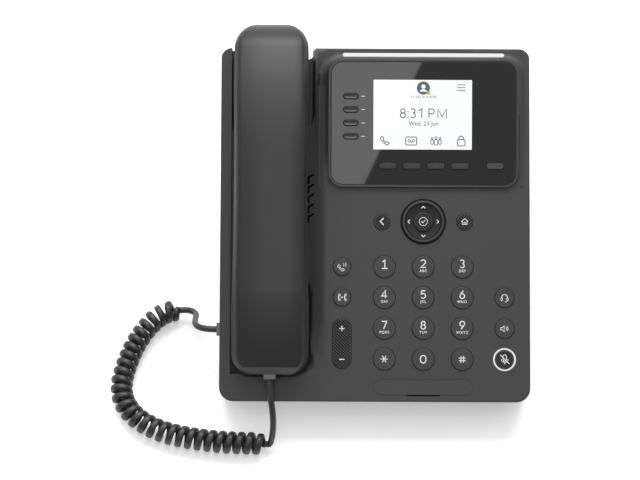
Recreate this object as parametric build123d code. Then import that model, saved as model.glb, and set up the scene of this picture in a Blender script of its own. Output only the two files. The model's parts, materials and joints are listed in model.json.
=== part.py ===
from build123d import *
import os
from copy import copy
from math import atan2, cos, degrees, hypot, pi, radians, sin, tan

# A desk telephone: a sloping base with a display, keys and a cradle, a handset, and its curly cord.
# Lengths are in millimetres. Each piece is drawn on the flat face: X runs right, Y runs up the face
# from its lower edge, and Z stands out of it, with Z = 0 on the face. The last section tilts the
# finished pieces by face_tilt and sets them on the desk.

# Housing: two moulded shells that meet at a seam round the sides.
base_width = 182.0
base_length = 208.3
front_depth = 18.0
rear_depth = 10.0
wall = 2.2
low_corner = 8.2
high_corner = 6.2
face_edge = 1.0
back_edge = 3.0
face_tilt = 28.0
foot_height = 1.5

# Clearances: fit is for pieces that stay put, run for pieces that move.
fit = 0.15
run = 0.30

# Cradle: the room that the handset lies in, along the left side of the base.
rail_width = 6.3
ear_width = 49.7
mouth_width = 46.6
ear_low = 160.0
ear_lip = 203.0
ear_depth = 12.0
ear_draft = 2.1
ear_corner = 11.0
mouth_low = 14.3
mouth_high = 63.0
mouth_depth = 7.0
mouth_corner = 11.6
channel_depth = 3.5
channel_slope = 15.5
channel_overlap = 8.5
channel_full = (46.0, 186.0)
channel_fade = (16.0, 207.0)
mouth_run = 11.0

# Finger notch in the upper end of the base, beside the handset.
notch_depth = 4.8
notch_margin = 5.0
notch_corner = 2.2

# Speaker slots in the channel floor, each with a hooked end that climbs the right-hand slope.
slot_count = 5
slot_pitch = 5.83
slot_width = 1.3
slot_top = 133.2
slot_hook = (2.7, 1.3)
slot_drop = 3.3
slot_inset = 1.5
slot_reach = 42.0
speaker_radius = 20.0
speaker_depth = 12.0

# Hook switch: the plunger in the channel that the handset holds down.
hook_size_face = (5.4, 9.4)
hook_flange_top = -9.1
hook_switch_low = -16.0

# Keys on the face.
panel_shift = 0.3
column_pitch = 22.8
side_column_margin = 15.4
first_row = 25.0
digits_to_nav = 26.6
nav_to_display = 20.3
digit_radius = 6.45
function_radius = 5.2
call_radius = 5.65
mute_radius = 5.45
arrow_radius = 4.75
arrow_spread = 24.3
nav_radius = 12.9
nav_hole = 13.5
nav_bore = 5.8
select_radius = 5.45
nav_rim_height = 1.2
nav_ring_low = -0.8
nav_carrier_bore = 7.2
nav_pin_radius = 9.2
select_flange_top = -1.5
rocker_size = (10.9, 29.1)
rocker_flange_top = -3.15
mute_ring_outer = 6.6
mute_ring_inner = 5.8
key_proud = 0.6
key_edge = 0.35
key_travel = 0.8
flange_lip = 0.9
flange_thick = 0.9
flange_gap = 0.2
mat_thick = 2.0
board_thick = 1.6

# Display: a wedge on the face whose glossy lens stands display_tilt more upright than the face.
display_tilt = 4.0
display_side = 7.3
display_height = 74.8
display_corner = 8.5
display_rise = 2.0
display_rim = 1.6
rim_groove = (0.7, 0.9)
shadow_groove = (0.5, 0.7, 0.9)
shoulder_reach = 5.8
bezel_thick = 1.9
skirt_width = 2.4
lens_thick = 1.5
lens_ledge = 2.2
lcd_margins = (45.4, 24.8)
lcd_thick = 3.4
lcd_corner = (-0.6, 17.4)
display_board_thick = 1.5
line_key_size = (8.7, 3.3)
line_key_inset = 12.9
line_key_low = 29.6
line_key_pitch = 7.85
soft_key_size = (10.2, 3.45)
soft_key_pitch = 14.08
soft_key_row = 12.3
soft_key_shift = 0.2
app_key_inset = 13.7
display_key_proud = 0.5
display_key_travel = 0.5
display_flange = 0.7

# Light bar, badge and microphone slit.
bar_inset = 8.1
bar_width = 2.2
bar_from_top = 4.25
bar_to_display = 3.35
bar_top = 1.7
badge_size = (57.2, 8.8)
badge_centre = 8.6
badge_thick = 0.8
badge_recess = 0.6
slit_size = (19.8, 0.8)
slit_centre = 3.8

# Bosses and screws.
boss_radius = 3.2
screw_radius = 1.2
screw_head_radius = 2.7
screw_head_thick = 2.0
board_post_radius = 2.4

# Sockets.
socket_body = (10.5, 10.0, 14.0)
socket_hole = (7.8, 6.2, 11.6)
handset_socket_height = 42.4
headset_socket_height = 25.0
side_socket_depth = 17.5
port_count = 2
port_body = (16.0, 13.4, 21.0)
port_hole = (11.8, 8.4, 15.0)
port_pitch = 20.0
port_centre = -2.0
jack_board_width = 26.0
jack_board_margin = 9.0
power_body = (9.0, 11.0, 14.0)
power_hole_radius = 3.0
power_pin_radius = 1.0
power_offset = 27.0
pocket_low = 50.0
pocket_high = 82.0
pocket_left = -12.0
pocket_width = 64.0
pocket_roof = 10.5
pocket_wall = 1.5

# Stand: a hollow wedge that clips on the back and carries the upper end of the base.
stand_width = 120.0
stand_wall = 2.5
stand_low = 86.0
stand_high = 168.0
stand_front = 84.0
stand_back = 165.0
hook_size = (10.0, 2.0, 4.2)
hook_spread = 44.0
keyhole_spread = 35.0
keyhole_place = 112.0
keyhole_entry = 4.2
keyhole_slot = 2.4
keyhole_run = 9.0

# Rubber feet, seated in shallow recesses.
foot_seat = 0.6
front_foot_spread = 70.0
front_foot_middle = 11.0
front_foot_length = 14.0
front_foot_width = 16.0
stand_foot_rows = (95.0, 154.0)
stand_foot_spread = 48.0
stand_foot_size = 13.0

# Handset: two shells, thick at the ear and mouth ends.
handset_low = 15.3
handset_high = 222.0
handset_bend = 63.3
handset_top = 23.0
grip_low = 4.0
handset_width = 44.6
handset_waist = 42.4
handset_crown = 43.4
handset_corner = 12.4
handset_end_corner = 17.0
handset_side_gap = 1.3
handset_waist_rows = (55.0, 115.0, 180.0)
handset_slope_rise = 1.4
handset_overrun = 0.8
handset_wall = 2.0
handset_edge = 4.6
lift_gap = 0.5
handset_socket_centre = 6.6
receiver_radius = 13.5
mouthpiece_radius = 5.0

receiver_row = 187.0
mouth_row = 38.0

# Cord.
lead_diameter = 3.6
coil_diameter = 14.0
plug_size = (7.6, 6.0, 13.0)
plug_proud = 2.4
straight_out = (6.6, 7.9)
base_lead_route = (
    (-106.3, -47.9, 26.7),
    (-107.3, -39.6, 19.4),
    (-106.8, -31.5, 12.2),
    (-110.7, -26.4, 8.0),
)
coil_route = (
    (-117.5, -25.8, 7.2),
    (-129.5, -28.6, 7.2),
    (-141.0, -43.5, 7.2),
    (-148.0, -62.0, 7.2),
    (-151.5, -82.5, 7.2),
    (-143.0, -98.5, 7.2),
    (-126.5, -108.5, 7.2),
    (-105.0, -113.5, 7.2),
    (-83.5, -115.8, 7.2),
    (-63.3, -116.0, 7.2),
)
handset_lead_route = (
    (-59.6, -104.0, 28.4),
    (-59.0, -109.6, 20.6),
    (-59.6, -113.6, 12.4),
    (-61.2, -115.8, 4.6),
)

# Places that follow from the sizes above.
half_width = base_width / 2
full_depth = front_depth + rear_depth
cradle_left = -half_width + rail_width
ear_right = cradle_left + ear_width
handset_middle = cradle_left + handset_side_gap + handset_width / 2
panel_width = half_width - ear_right
panel_centre = ear_right + panel_width / 2 + panel_shift
side_column = panel_width / 2 - side_column_margin
display_width = panel_width - 2 * display_side
bar_centre = base_length - bar_from_top
display_bottom = bar_centre - bar_to_display - display_height
nav_row = display_bottom - nav_to_display
row_pitch = (nav_row - digits_to_nav - first_row) / 3
bar_size = (display_width - 2 * bar_inset, bar_width)
lcd_size = (display_width - lcd_margins[0], display_height - lcd_margins[1])
lcd_centre = (lcd_corner[0], lcd_corner[1] + lcd_size[1] / 2)
line_key_place = (line_key_inset - display_width / 2, line_key_low)
app_key_place = display_width / 2 - app_key_inset
key_bottom = -wall - flange_gap - flange_thick
mat_top = key_bottom - key_travel - 0.1
board_top = mat_top - mat_thick
board_low = board_top - board_thick
deep_pocket = mat_top - 0.9
back_inside = -full_depth + wall
port_row = panel_centre + port_centre


# ---------------------------------------------------------------- plain shapes
def post(radius, low, high):
    """A round post between two heights."""
    return Pos(0, 0, (low + high) / 2) * Cylinder(radius, high - low)


def ring(outer, inner, low, high):
    """A round ring between two heights."""
    return post(outer, low, high) - post(inner, low - 1, high + 1)


def slab(width, length, radius, low, high):
    """A plate with rounded corners between two heights."""
    return Pos(0, 0, low) * extrude(RectangleRounded(width, length, radius), high - low)


def block(width, length, low, high):
    """A plain block between two heights."""
    return Pos(0, 0, (low + high) / 2) * Box(width, length, high - low)


def capsule(size, low, high):
    """A plate with round ends, lying along its longer side."""
    width, length = size
    turn = 0 if width > length else 90
    outline = SlotOverall(max(size), min(size), rotation=turn)
    return Pos(0, 0, low) * extrude(outline, high - low)


def groove(start, end, width, low, high):
    """A straight cut with round ends from one point of the face to another."""
    run_x = end[0] - start[0]
    run_y = end[1] - start[1]
    outline = SlotCenterToCenter(hypot(run_x, run_y), width, rotation=degrees(atan2(run_y, run_x)))
    return Pos(start[0] + run_x / 2, start[1] + run_y / 2, low) * extrude(outline, high - low)


def side_prism(points, width, centre=0.0):
    """A prism along X whose outline is given as (up the face, out of the face)."""
    return side_extrusion(make_face(Polyline(*points, close=True)), width, centre)


def side_extrusion(outline, width, centre=0.0):
    """Carries a side view, drawn as (up the face, out of the face), along X."""
    return Pos(centre - width / 2, 0, 0) * extrude(Plane.YZ * outline, width)


def on_display(x, y):
    """The place of a point of the lens: x from its middle, y up from the display's lower edge."""
    plane = Pos(panel_centre, display_bottom, display_rise) * Rot(display_tilt, 0, 0)
    return plane * Pos(x, y, 0)


def from_desk(across, height):
    """Face coordinates of a point of the desk: across from the face's lower edge, and up."""
    tilt = radians(face_tilt)
    rise = height - full_depth * cos(tilt) - foot_height
    return across * cos(tilt) + rise * sin(tilt), rise * cos(tilt) - across * sin(tilt)


def on_desk(x, across, height):
    """The place of something that stands level on the desk."""
    y, z = from_desk(across, height)
    return Pos(x, y, z) * Rot(-face_tilt, 0, 0)


# ---------------------------------------------------------------- places of keys, posts and screws
digit_places = {}
for row, names in enumerate((("star", "0", "hash"), ("7", "8", "9"), ("4", "5", "6"), ("1", "2", "3"))):
    for column, name in enumerate(names):
        digit_places["key_" + name] = (
            panel_centre + (column - 1) * column_pitch,
            first_row + row * row_pitch,
        )

side_right = panel_centre + side_column
side_left = panel_centre - side_column
function_places = {
    "hold_key": (side_left, first_row + 3 * row_pitch, function_radius),
    "transfer_key": (side_left, first_row + 2 * row_pitch, function_radius),
    "headset_key": (side_right, first_row + 2 * row_pitch, call_radius),
    "speaker_key": (side_right, first_row + row_pitch, call_radius),
    "back_key": (panel_centre - arrow_spread, nav_row, arrow_radius),
    "home_key": (panel_centre + arrow_spread, nav_row, arrow_radius),
}
mute_place = (side_right, first_row)
rocker_place = (side_left, first_row + row_pitch / 2)
nav_place = (panel_centre, nav_row)

screw_places = (
    (-half_width + 11.0, 6.6),
    (panel_centre - 8.3, 6.6),
    (half_width - 8.6, 6.6),
    (half_width - 8.6, base_length - 6.6),
    (ear_right + 11.0, base_length - 6.6),
    (cradle_left + ear_width / 2, mouth_high + 21.0),
)
between_columns = panel_centre - column_pitch / 2
post_places = (
    (between_columns, first_row + row_pitch / 2),
    (side_right - 11.9, first_row + row_pitch / 2),
    (side_right - 11.9, nav_row - 9.6),
    (side_left + 11.3, nav_row - 9.6),
)
hook_place = (cradle_left + ear_width / 2 - 1.0, ear_low - 14.0)
speaker_place = (cradle_left + ear_width / 2, slot_top - 16.5)


# ---------------------------------------------------------------- base shells
def base_outline(inset=0.0):
    """The outline of the base, moved inwards by inset."""
    shape = Rectangle(base_width - 2 * inset, base_length - 2 * inset)
    shape = fillet(shape.vertices().group_by(Axis.Y)[0], max(low_corner - inset, 0.5))
    shape = fillet(shape.vertices().group_by(Axis.Y)[-1], max(high_corner - inset, 0.5))
    return Pos(0, base_length / 2) * shape


def finger_notch(inset=0.0):
    """The notch in the upper end of the base, grown by inset."""
    left = cradle_left + notch_margin - inset
    right = ear_right - ear_draft + inset
    shape = RectangleRounded(right - left, 2 * (notch_depth + inset), notch_corner + inset)
    room = Pos((left + right) / 2, base_length) * shape
    return Pos(0, 0, -full_depth - 1) * extrude(room, full_depth + 8)


def channel_section(row, share, grow):
    """The channel's section at one row: a level floor whose right side rises in a smooth slope."""
    over = 6.0
    floor = -share * channel_depth - grow
    head = ear_right + channel_overlap
    left = cradle_left - grow
    foot = head - channel_slope
    lip = share * 0.15 - grow
    sides = Polyline((head, over), (left, over), (left, floor), (foot, floor))
    slope = Bezier(
        (foot, floor),
        (foot + 0.4 * channel_slope, floor),
        (head - 0.4 * channel_slope, lip - share * 0.25),
        (head, lip),
    )
    close = Line((head, lip), (head, over))
    return Pos(0, row, 0) * (Plane.XZ * make_face([*sides.edges(), slope, close]))


def channel_room(grow):
    """The shallow channel under the grip, which fades out at both ends of the base."""
    low, high = channel_full
    room = loft([channel_section(channel_fade[0], 0.04, grow), channel_section(low, 1.0, grow)], ruled=True)
    room += loft([channel_section(low, 1.0, grow), channel_section(high, 1.0, grow)], ruled=True)
    return room + loft(
        [channel_section(high, 1.0, grow), channel_section(channel_fade[1] + 5, 0.04, grow)], ruled=True
    )


def ear_room(grow):
    """The well for the ear end, whose right side leans outwards."""
    over = 6.0
    length = base_length + 30 - ear_low + 2 * grow
    middle = ear_low - grow + length / 2
    levels = []
    for height, share in ((-ear_depth - grow, 0.0), (0.0, 1.0), (over, 1.0)):
        width = ear_width - (1 - share) * ear_draft + 2 * grow
        corner = ear_corner - (1 - share) * ear_draft + grow
        outline = RectangleRounded(width, length, corner)
        levels.append(Pos(cradle_left - grow + width / 2, middle, height) * outline)
    room = loft(levels[:2], ruled=True) + loft(levels[1:], ruled=True)
    square = slab(ear_width / 2 + 2 * grow, length, 1 + grow, -ear_depth - grow, over)
    return room + Pos(cradle_left + ear_width / 4, middle) * square


def cradle_room(grow=0.0):
    """The room for the handset: ear well, mouth well and channel. grow makes it larger all round."""
    mouth = Pos(cradle_left + mouth_width / 2, (mouth_low + mouth_high + mouth_run) / 2) * slab(
        mouth_width + 2 * grow,
        mouth_high + mouth_run - mouth_low + 2 * grow,
        mouth_corner + grow,
        -mouth_depth - grow,
        6.0,
    )
    return ear_room(grow) + mouth + channel_room(grow)


def speaker_slots():
    """Slots with a hooked end: across the floor, up beside the handset, and out along the slope."""
    tip_x = ear_right - slot_inset
    bend_x = tip_x - slot_hook[0]
    cuts = Part()
    for number in range(slot_count):
        top = slot_top - number * slot_pitch
        bend = (bend_x, top - slot_hook[1])
        low = (bend_x, bend[1] - slot_drop)
        cuts += groove((tip_x, top), bend, slot_width, -9, 2)
        cuts += groove(bend, low, slot_width, -9, 2)
        cuts += groove(low, (low[0] - slot_reach, low[1]), slot_width, -9, 2)
    return cuts


def display_outline(shrink, low, high):
    """A plate parallel to the lens, smaller than the display's outline by shrink on each side."""
    return on_display(0, display_height / 2) * slab(
        display_width - 2 * shrink, display_height - 2 * shrink, display_corner - shrink, low, high
    )


def under_bezel():
    """Everything below the plane that the bezel rests on."""
    reach = 2 * base_length
    return on_display(0, display_height / 2) * block(reach, reach, -reach, -bezel_thick)


def shoulder_section(height, foot=0.0):
    """The concave slope beside the display as (away from its edge, out of the face)."""
    low = foot - 0.7
    return make_face(
        [
            Line((-1, low), (-1, height)),
            Line((-1, height), (0, height)),
            ThreePointArc(
                (0, height),
                (0.27 * shoulder_reach, foot + 0.32 * (height - foot)),
                (shoulder_reach, foot),
            ),
            Line((shoulder_reach, foot), (shoulder_reach, low)),
            Line((shoulder_reach, low), (-1, low)),
        ]
    )


def display_shoulder():
    """The concave slope that carries the face up to the display's sides and its upper edge."""
    tilt = radians(display_tilt)
    top_row = display_bottom + display_height * cos(tilt) + (bezel_thick - 0.3) * sin(tilt)
    top_height = display_rise + display_height * sin(tilt) - bezel_thick * cos(tilt)
    corner_row = top_row - display_corner
    half = display_width / 2
    straight = display_width - 2 * display_corner
    brow = Plane.YZ * shoulder_section(top_height)
    slope = Pos(panel_centre - straight / 2, top_row, 0) * extrude(brow, straight)
    for side, rows in (
        (1, ((display_bottom, 0.3, 0.0), (corner_row, top_height, 0.0))),
        (-1, ((display_bottom, 0.3, -1.2), (channel_full[1], top_height * 0.88, -1.2), (corner_row, top_height, 0.0))),
    ):
        sections = []
        for row, height, foot in rows:
            section = Plane.XZ * shoulder_section(height, foot)
            if side < 0:
                section = mirror(section, Plane.YZ)
            sections.append(Pos(panel_centre + side * half, row, 0) * section)
        for near, far in zip(sections, sections[1:]):
            slope += loft([near, far], ruled=True)
        ring = Pos(display_corner, 0, 0) * (Plane.XZ * shoulder_section(top_height))
        turned = revolve(ring, Axis.Z, 90)
        if side < 0:
            turned = mirror(turned, Plane.YZ)
        slope += Pos(panel_centre + side * (half - display_corner), corner_row, 0) * turned
    return slope & under_bezel()


def display_mount():
    """The raised wedge of the cover under the display, with a concave slope round it."""
    over_face = Pos(0, base_length / 2) * block(2 * base_width, 2 * base_length, -wall, 30)
    wedge = display_outline(0, -15, -bezel_thick) & over_face
    return wedge + display_shoulder()


def shadow_line():
    """The narrow groove of the cover along the edge of the bezel."""
    outside, inside, depth = shadow_groove
    low = -bezel_thick - depth
    return display_outline(-outside, low, 12) - display_outline(inside, low - 1, 13)


def socket_space(height, grow, outwards=0.0):
    """The room of a side socket's body in the left wall."""
    width, tall, long = socket_body
    start = -half_width + 0.4 - outwards
    return Pos(start + (long + outwards) / 2, height, -side_socket_depth) * Box(
        long + outwards + grow, width + 2 * grow, tall + 2 * grow
    )


def key_holes():
    """The holes of the face for the round keys, the rocker and the ring round the mute key."""
    holes = Part()
    for x, y in digit_places.values():
        holes += Pos(x, y) * post(digit_radius + run, -6, 2)
    for x, y, radius in function_places.values():
        holes += Pos(x, y) * post(radius + run, -6, 2)
    holes += Pos(*mute_place) * post(mute_ring_outer + fit, -6, 2)
    holes += Pos(*nav_place) * post(nav_hole, -6, 2)
    holes += Pos(*rocker_place) * capsule((rocker_size[0] + 2 * run, rocker_size[1] + 2 * run), -6, 2)
    return holes


def front_cover():
    """The upper shell: face, cradle, display mount, bosses and posts, with all its openings."""
    outer = Pos(0, 0, -front_depth) * extrude(base_outline(), front_depth)
    outer = fillet(outer.faces().sort_by(Axis.Z)[-1].edges(), face_edge)
    inner = Pos(0, 0, -front_depth - 1) * extrude(base_outline(wall), front_depth + 1 - wall)
    inner -= cradle_room(wall)
    inner -= finger_notch(wall)
    for x, y in screw_places:
        inner -= Pos(x, y) * (post(boss_radius, -front_depth - 1, 0) - post(screw_radius, -30, -8))
    for x, y in post_places:
        inner -= Pos(x, y) * (post(board_post_radius, board_top, 0) - post(screw_radius, -30, -4))
    shell = outer - inner - cradle_room() - finger_notch()
    shell += display_mount()
    shell -= shadow_line()
    shell -= display_outline(skirt_width - fit, -20, 12)
    shell -= key_holes()
    shell -= speaker_slots()
    shell -= Pos(*hook_place) * block(hook_size_face[0] + 2 * run, hook_size_face[1] + 2 * run, -9, 2)
    bar = (bar_size[0] + 2 * fit, bar_size[1] + 2 * fit)
    shell -= Pos(panel_centre, bar_centre) * capsule(bar, -6, 9)
    badge = (badge_size[0] + 2 * fit, badge_size[1] + 2 * fit)
    shell -= Pos(panel_centre, badge_centre) * capsule(badge, -badge_recess, 2)
    shell -= Pos(panel_centre, slit_centre) * capsule(slit_size, -6, 2)
    shell -= socket_space(handset_socket_height, fit, 5)
    shell -= socket_space(headset_socket_height, fit, 5)
    return shell


def rear_cover():
    """The lower shell: a tray with screw bosses, the port pocket, and seats for stand and feet."""
    tray = Pos(0, 0, -full_depth) * extrude(base_outline(), rear_depth)
    tray = fillet(tray.faces().sort_by(Axis.Z)[0].edges(), back_edge)
    inner = Pos(0, 0, back_inside) * extrude(base_outline(wall), rear_depth)
    for x, y in screw_places:
        inner -= Pos(x, y) * post(boss_radius + 1.0, -full_depth, 0)
    inner -= finger_notch(wall)
    tray -= inner
    tray -= finger_notch()
    tray += Pos(*hook_place) * block(9, 7, back_inside, hook_switch_low)
    pocket_x = pocket_left + pocket_width / 2
    pocket_y = (pocket_low + pocket_high) / 2
    pocket_length = pocket_high - pocket_low
    tray += Pos(pocket_x, pocket_y) * block(
        pocket_width + 2 * pocket_wall,
        pocket_length + 2 * pocket_wall,
        back_inside - 1,
        pocket_wall - pocket_roof,
    )
    tray -= Pos(pocket_x, pocket_y) * block(pocket_width, pocket_length, -full_depth - 1, -pocket_roof)
    for x in port_columns():
        tray -= Pos(x, pocket_high) * port_space(port_body, fit)
    tray -= Pos(port_row - power_offset, pocket_high) * port_space(power_body, fit)
    for x, y in screw_places:
        tray -= Pos(x, y) * post(screw_head_radius + run, -full_depth - 1, -full_depth + 5.6)
        tray -= Pos(x, y) * post(screw_radius + 0.3, -full_depth - 1, 0)
    for x in (-hook_spread, hook_spread):
        for y in stand_hook_rows():
            tray -= Pos(x, y) * block(
                hook_size[0] + 2 * fit, hook_size[1] + 2 * fit, -full_depth - 1, back_inside + 1
            )
        tray -= Pos(x * front_foot_spread / hook_spread, front_foot_middle) * block(
            front_foot_width + 2 * fit,
            front_foot_length + 2 * fit,
            -full_depth - 1,
            -full_depth + foot_seat,
        )
    tray -= socket_space(handset_socket_height, fit, 5)
    tray -= socket_space(headset_socket_height, fit, 5)
    return tray + jack_board_seats()


# ---------------------------------------------------------------- keys
def round_key(radius, lowest=None, proud=None):
    """A key cap with a retaining flange under the face."""
    low = key_bottom if lowest is None else lowest
    top = key_proud if proud is None else proud
    cap = post(radius, low, top)
    cap = fillet(cap.edges().group_by(Axis.Z)[-1], key_edge)
    return cap + post(radius + flange_lip, low, low + flange_thick)


def volume_rocker():
    """The volume key: one long cap that rocks on a ridge at its middle."""
    low = rocker_flange_top - flange_thick
    cap = capsule(rocker_size, low, key_proud)
    cap = fillet(cap.edges().group_by(Axis.Z)[-1], key_edge)
    flange = capsule((rocker_size[0] + 2 * flange_lip, rocker_size[1] + 2 * flange_lip), low, rocker_flange_top)
    ridge_radius = (low - deep_pocket - 0.1) / 2 + 0.45
    ridge = Pos(0, 0, deep_pocket + 0.1 + ridge_radius) * Rot(0, 90, 0) * Cylinder(
        ridge_radius, rocker_size[0] - 2
    )
    return cap + flange + ridge


def nav_carrier():
    """The plate under the navigation ring; it rocks up and down and carries two pivot pins."""
    plate = ring(nav_hole + 0.7, nav_carrier_bore, rocker_flange_top - flange_thick, rocker_flange_top)
    pins = Pos(0, nav_pin_radius) * post(1.2, rocker_flange_top - 0.1, nav_ring_low - 0.1)
    pins += Pos(0, -nav_pin_radius) * post(1.2, rocker_flange_top - 0.1, nav_ring_low - 0.1)
    ridge = Pos(nav_pin_radius + 1.6, 0, rocker_flange_top - flange_thick) * Rot(0, 90, 0) * Cylinder(0.8, 4.5)
    other = Pos(-nav_pin_radius - 1.6, 0, rocker_flange_top - flange_thick) * Rot(0, 90, 0) * Cylinder(0.8, 4.5)
    return plate + pins + ridge + other


def nav_ring():
    """The navigation ring: a raised rim, a groove, and a dished face round the select key."""
    body = ring(nav_radius, nav_bore, nav_ring_low, nav_rim_height)
    body = fillet(body.edges().group_by(Axis.Z)[-1], key_edge)
    outline = make_face(
        Polyline(
            (nav_radius - 1.5, 0, nav_rim_height + 1),
            (nav_radius - 1.5, 0, nav_rim_height - 0.3),
            (nav_radius - 2.3, 0, nav_rim_height - 0.9),
            (nav_bore + 0.9, 0, nav_rim_height - 0.5),
            (nav_bore + 0.9, 0, nav_rim_height + 1),
            close=True,
        )
    )
    return body - revolve(outline, Axis.Z)


def select_key():
    """The round key in the middle of the navigation ring."""
    cap = post(select_radius, select_flange_top - flange_thick, key_proud + 0.4)
    cap = fillet(cap.edges().group_by(Axis.Z)[-1], key_edge)
    flange = post(select_radius + 1.1, select_flange_top - flange_thick, select_flange_top)
    return cap + flange + post(3.5, mat_top, select_flange_top)


def display_key(size):
    """A small capsule key of the display, with its flange behind the lens."""
    low = -lens_thick - 0.1 - display_flange
    cap = capsule(size, low, display_key_proud)
    cap = fillet(cap.edges().group_by(Axis.Z)[-1], 0.25)
    flange = capsule((size[0] + 1.2, size[1] + 1.2), low, low + display_flange)
    return cap + flange


def keypad_mat():
    """The silicone mat on the board, with lower floors under the rocking keys."""
    left = side_left - 8.0
    right = side_right + 8.0
    low = first_row - 10.0
    high = nav_row + 16.0
    mat = Pos((left + right) / 2, (low + high) / 2) * slab(right - left, high - low, 3, board_top, mat_top)
    mat -= Pos(*nav_place) * post(nav_hole + 1.5, deep_pocket, 0)
    mat -= Pos(*mute_place) * post(mute_ring_outer + 1.6, deep_pocket, 0)
    mat -= Pos(*rocker_place) * capsule((rocker_size[0] + 3.4, rocker_size[1] + 3.4), deep_pocket, 0)
    for x, y in post_places:
        mat -= Pos(x, y) * post(board_post_radius + 0.4, board_top - 1, 0)
    return mat


def mute_light_ring():
    """The light pipe round the mute key, with a flange behind the face."""
    pipe = ring(mute_ring_outer, mute_ring_inner, -wall - 1.0, 0.2)
    return pipe + ring(mute_ring_outer + 1.0, mute_ring_inner, -wall - 1.0, -wall)


# ---------------------------------------------------------------- display
def display_bezel():
    """The frame round the lens: a thin rim on the mount and a skirt through the cover."""
    skirt_low = -lens_thick - lcd_thick - display_board_thick - 0.6
    frame = display_outline(0, -bezel_thick, 0)
    frame += display_outline(skirt_width, skirt_low, -0.5)
    frame -= display_outline(display_rim - fit, -lens_thick, 5)
    frame -= display_outline(display_rim - rim_groove[0], -rim_groove[1], 5)
    return frame - display_outline(display_rim + lens_ledge, skirt_low - 1, 5)


def display_lens():
    """The glossy lens with the holes of its nine keys."""
    lens = display_outline(display_rim, -lens_thick, 0)
    for place, size in display_keys().values():
        lens -= on_display(*place) * capsule((size[0] + 2 * run, size[1] + 2 * run), -5, 5)
    return lens


def display_keys():
    """Name to place and size of the keys in the lens."""
    keys = {}
    for number in range(4):
        across, up = line_key_place
        keys[f"line_key_{number + 1}"] = ((across, up + (3 - number) * line_key_pitch), line_key_size)
        soft_x = (number - 1.5) * soft_key_pitch + soft_key_shift
        keys[f"soft_key_{number + 1}"] = ((soft_x, soft_key_row), soft_key_size)
    keys["app_key"] = ((app_key_place, soft_key_row), soft_key_size)
    return keys


def lcd_panel():
    """The screen with its back light, behind the clear window of the lens."""
    return on_display(*lcd_centre) * block(*lcd_size, -lens_thick - 0.1 - lcd_thick, -lens_thick - 0.1)


def display_key_mat():
    """The silicone strip under the keys of the lens."""
    low = -lens_thick - 0.1 - lcd_thick
    high = -lens_thick - 0.2 - display_flange - display_key_travel
    left = line_key_place[0]
    keys_top = line_key_place[1] + 3 * line_key_pitch + 5
    column = on_display(left, (soft_key_row + keys_top) / 2) * block(11, keys_top - soft_key_row, low, high)
    row_left = left - 5.5
    row_right = app_key_place + 7.5
    row_high = lcd_centre[1] - lcd_size[1] / 2 - 0.2
    row = on_display((row_left + row_right) / 2, (row_high + 5.6) / 2) * block(
        row_right - row_left, row_high - 5.6, low, high
    )
    return column + row


def display_board():
    """The circuit board behind the screen."""
    top = -lens_thick - 0.1 - lcd_thick
    return display_outline(display_rim + lens_ledge + 0.4, top - display_board_thick, top)


# ---------------------------------------------------------------- trim and electronics
def status_light_bar():
    """The white light pipe above the display, with a flange behind the face."""
    bar = capsule(bar_size, -wall - 1.0, bar_top)
    bar = fillet(bar.edges().group_by(Axis.Z)[-1], 0.3)
    return bar + block(bar_size[0] + 1.6, bar_size[1] + 1.6, -wall - 1.0, -wall)


def main_board():
    """The circuit board that carries the keypad mat and the ports."""
    left = ear_right + wall + 1.3
    right = half_width - 4.5
    low = 12.5
    high = base_length - 12.3
    board = Pos((left + right) / 2, (low + high) / 2) * block(right - left, high - low, board_low, board_top)
    for x, y in post_places:
        board -= Pos(x, y) * post(screw_radius + 0.15, board_low - 1, 0)
    return board


def screw(head_low, head_high, tip, radius, head_radius):
    """A pan-head screw driven from behind, with a cross recess."""
    shape = post(head_radius, head_low, head_high) + post(radius, head_high, tip)
    recess = block(head_radius * 1.3, 0.6, head_low - 1, head_low + 0.9)
    recess += block(0.6, head_radius * 1.3, head_low - 1, head_low + 0.9)
    return shape - recess


def housing_screws():
    """The screws that hold the two shells together."""
    seat = -full_depth + 5.6
    one = screw(seat - screw_head_thick, seat, -9, screw_radius - 0.05, screw_head_radius)
    return [Pos(x, y) * one for x, y in screw_places]


def board_screws():
    """The screws that hold the main board to the posts of the front cover."""
    one = screw(board_low - 1.4, board_low, -4.6, screw_radius - 0.05, 2.2)
    return [Pos(x, y) * one for x, y in post_places]


def side_socket(height):
    """A four-way socket in the left wall, open to the left."""
    body = socket_space(height, 0)
    hole_width, hole_tall, hole_long = socket_hole
    start = -half_width + 0.4
    hole = Pos(start + hole_long / 2 - 1, height, -side_socket_depth) * Box(
        hole_long + 2, hole_width, hole_tall
    )
    return body - hole


def jack_board():
    """The small board under the two side sockets."""
    top = -side_socket_depth - socket_body[1] / 2
    low = headset_socket_height - jack_board_margin
    high = handset_socket_height + jack_board_margin
    left = -half_width + wall + 0.5
    place = Pos(left + jack_board_width / 2, (low + high) / 2)
    return place * block(jack_board_width, high - low, top - board_thick, top)


def jack_board_seats():
    """The two pads of the lower shell that the side board lies on."""
    top = -side_socket_depth - socket_body[1] / 2 - board_thick
    seat = block(8.0, 6.0, back_inside - 0.5, top)
    right = -half_width + wall + jack_board_width - 6.0
    return Pos(right, headset_socket_height - 4) * seat + Pos(right, handset_socket_height + 4) * seat


def port_columns():
    """The places of the network ports across the base."""
    return [port_row + (number - (port_count - 1) / 2) * port_pitch for number in range(port_count)]


def port_space(body, grow):
    """The room of a port's body: under the main board, its face just proud of the pocket wall."""
    width, tall, long = body
    return Pos(0, long / 2 - 0.5, board_low - tall / 2) * Box(width + 2 * grow, long, tall + 2 * grow)


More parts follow.
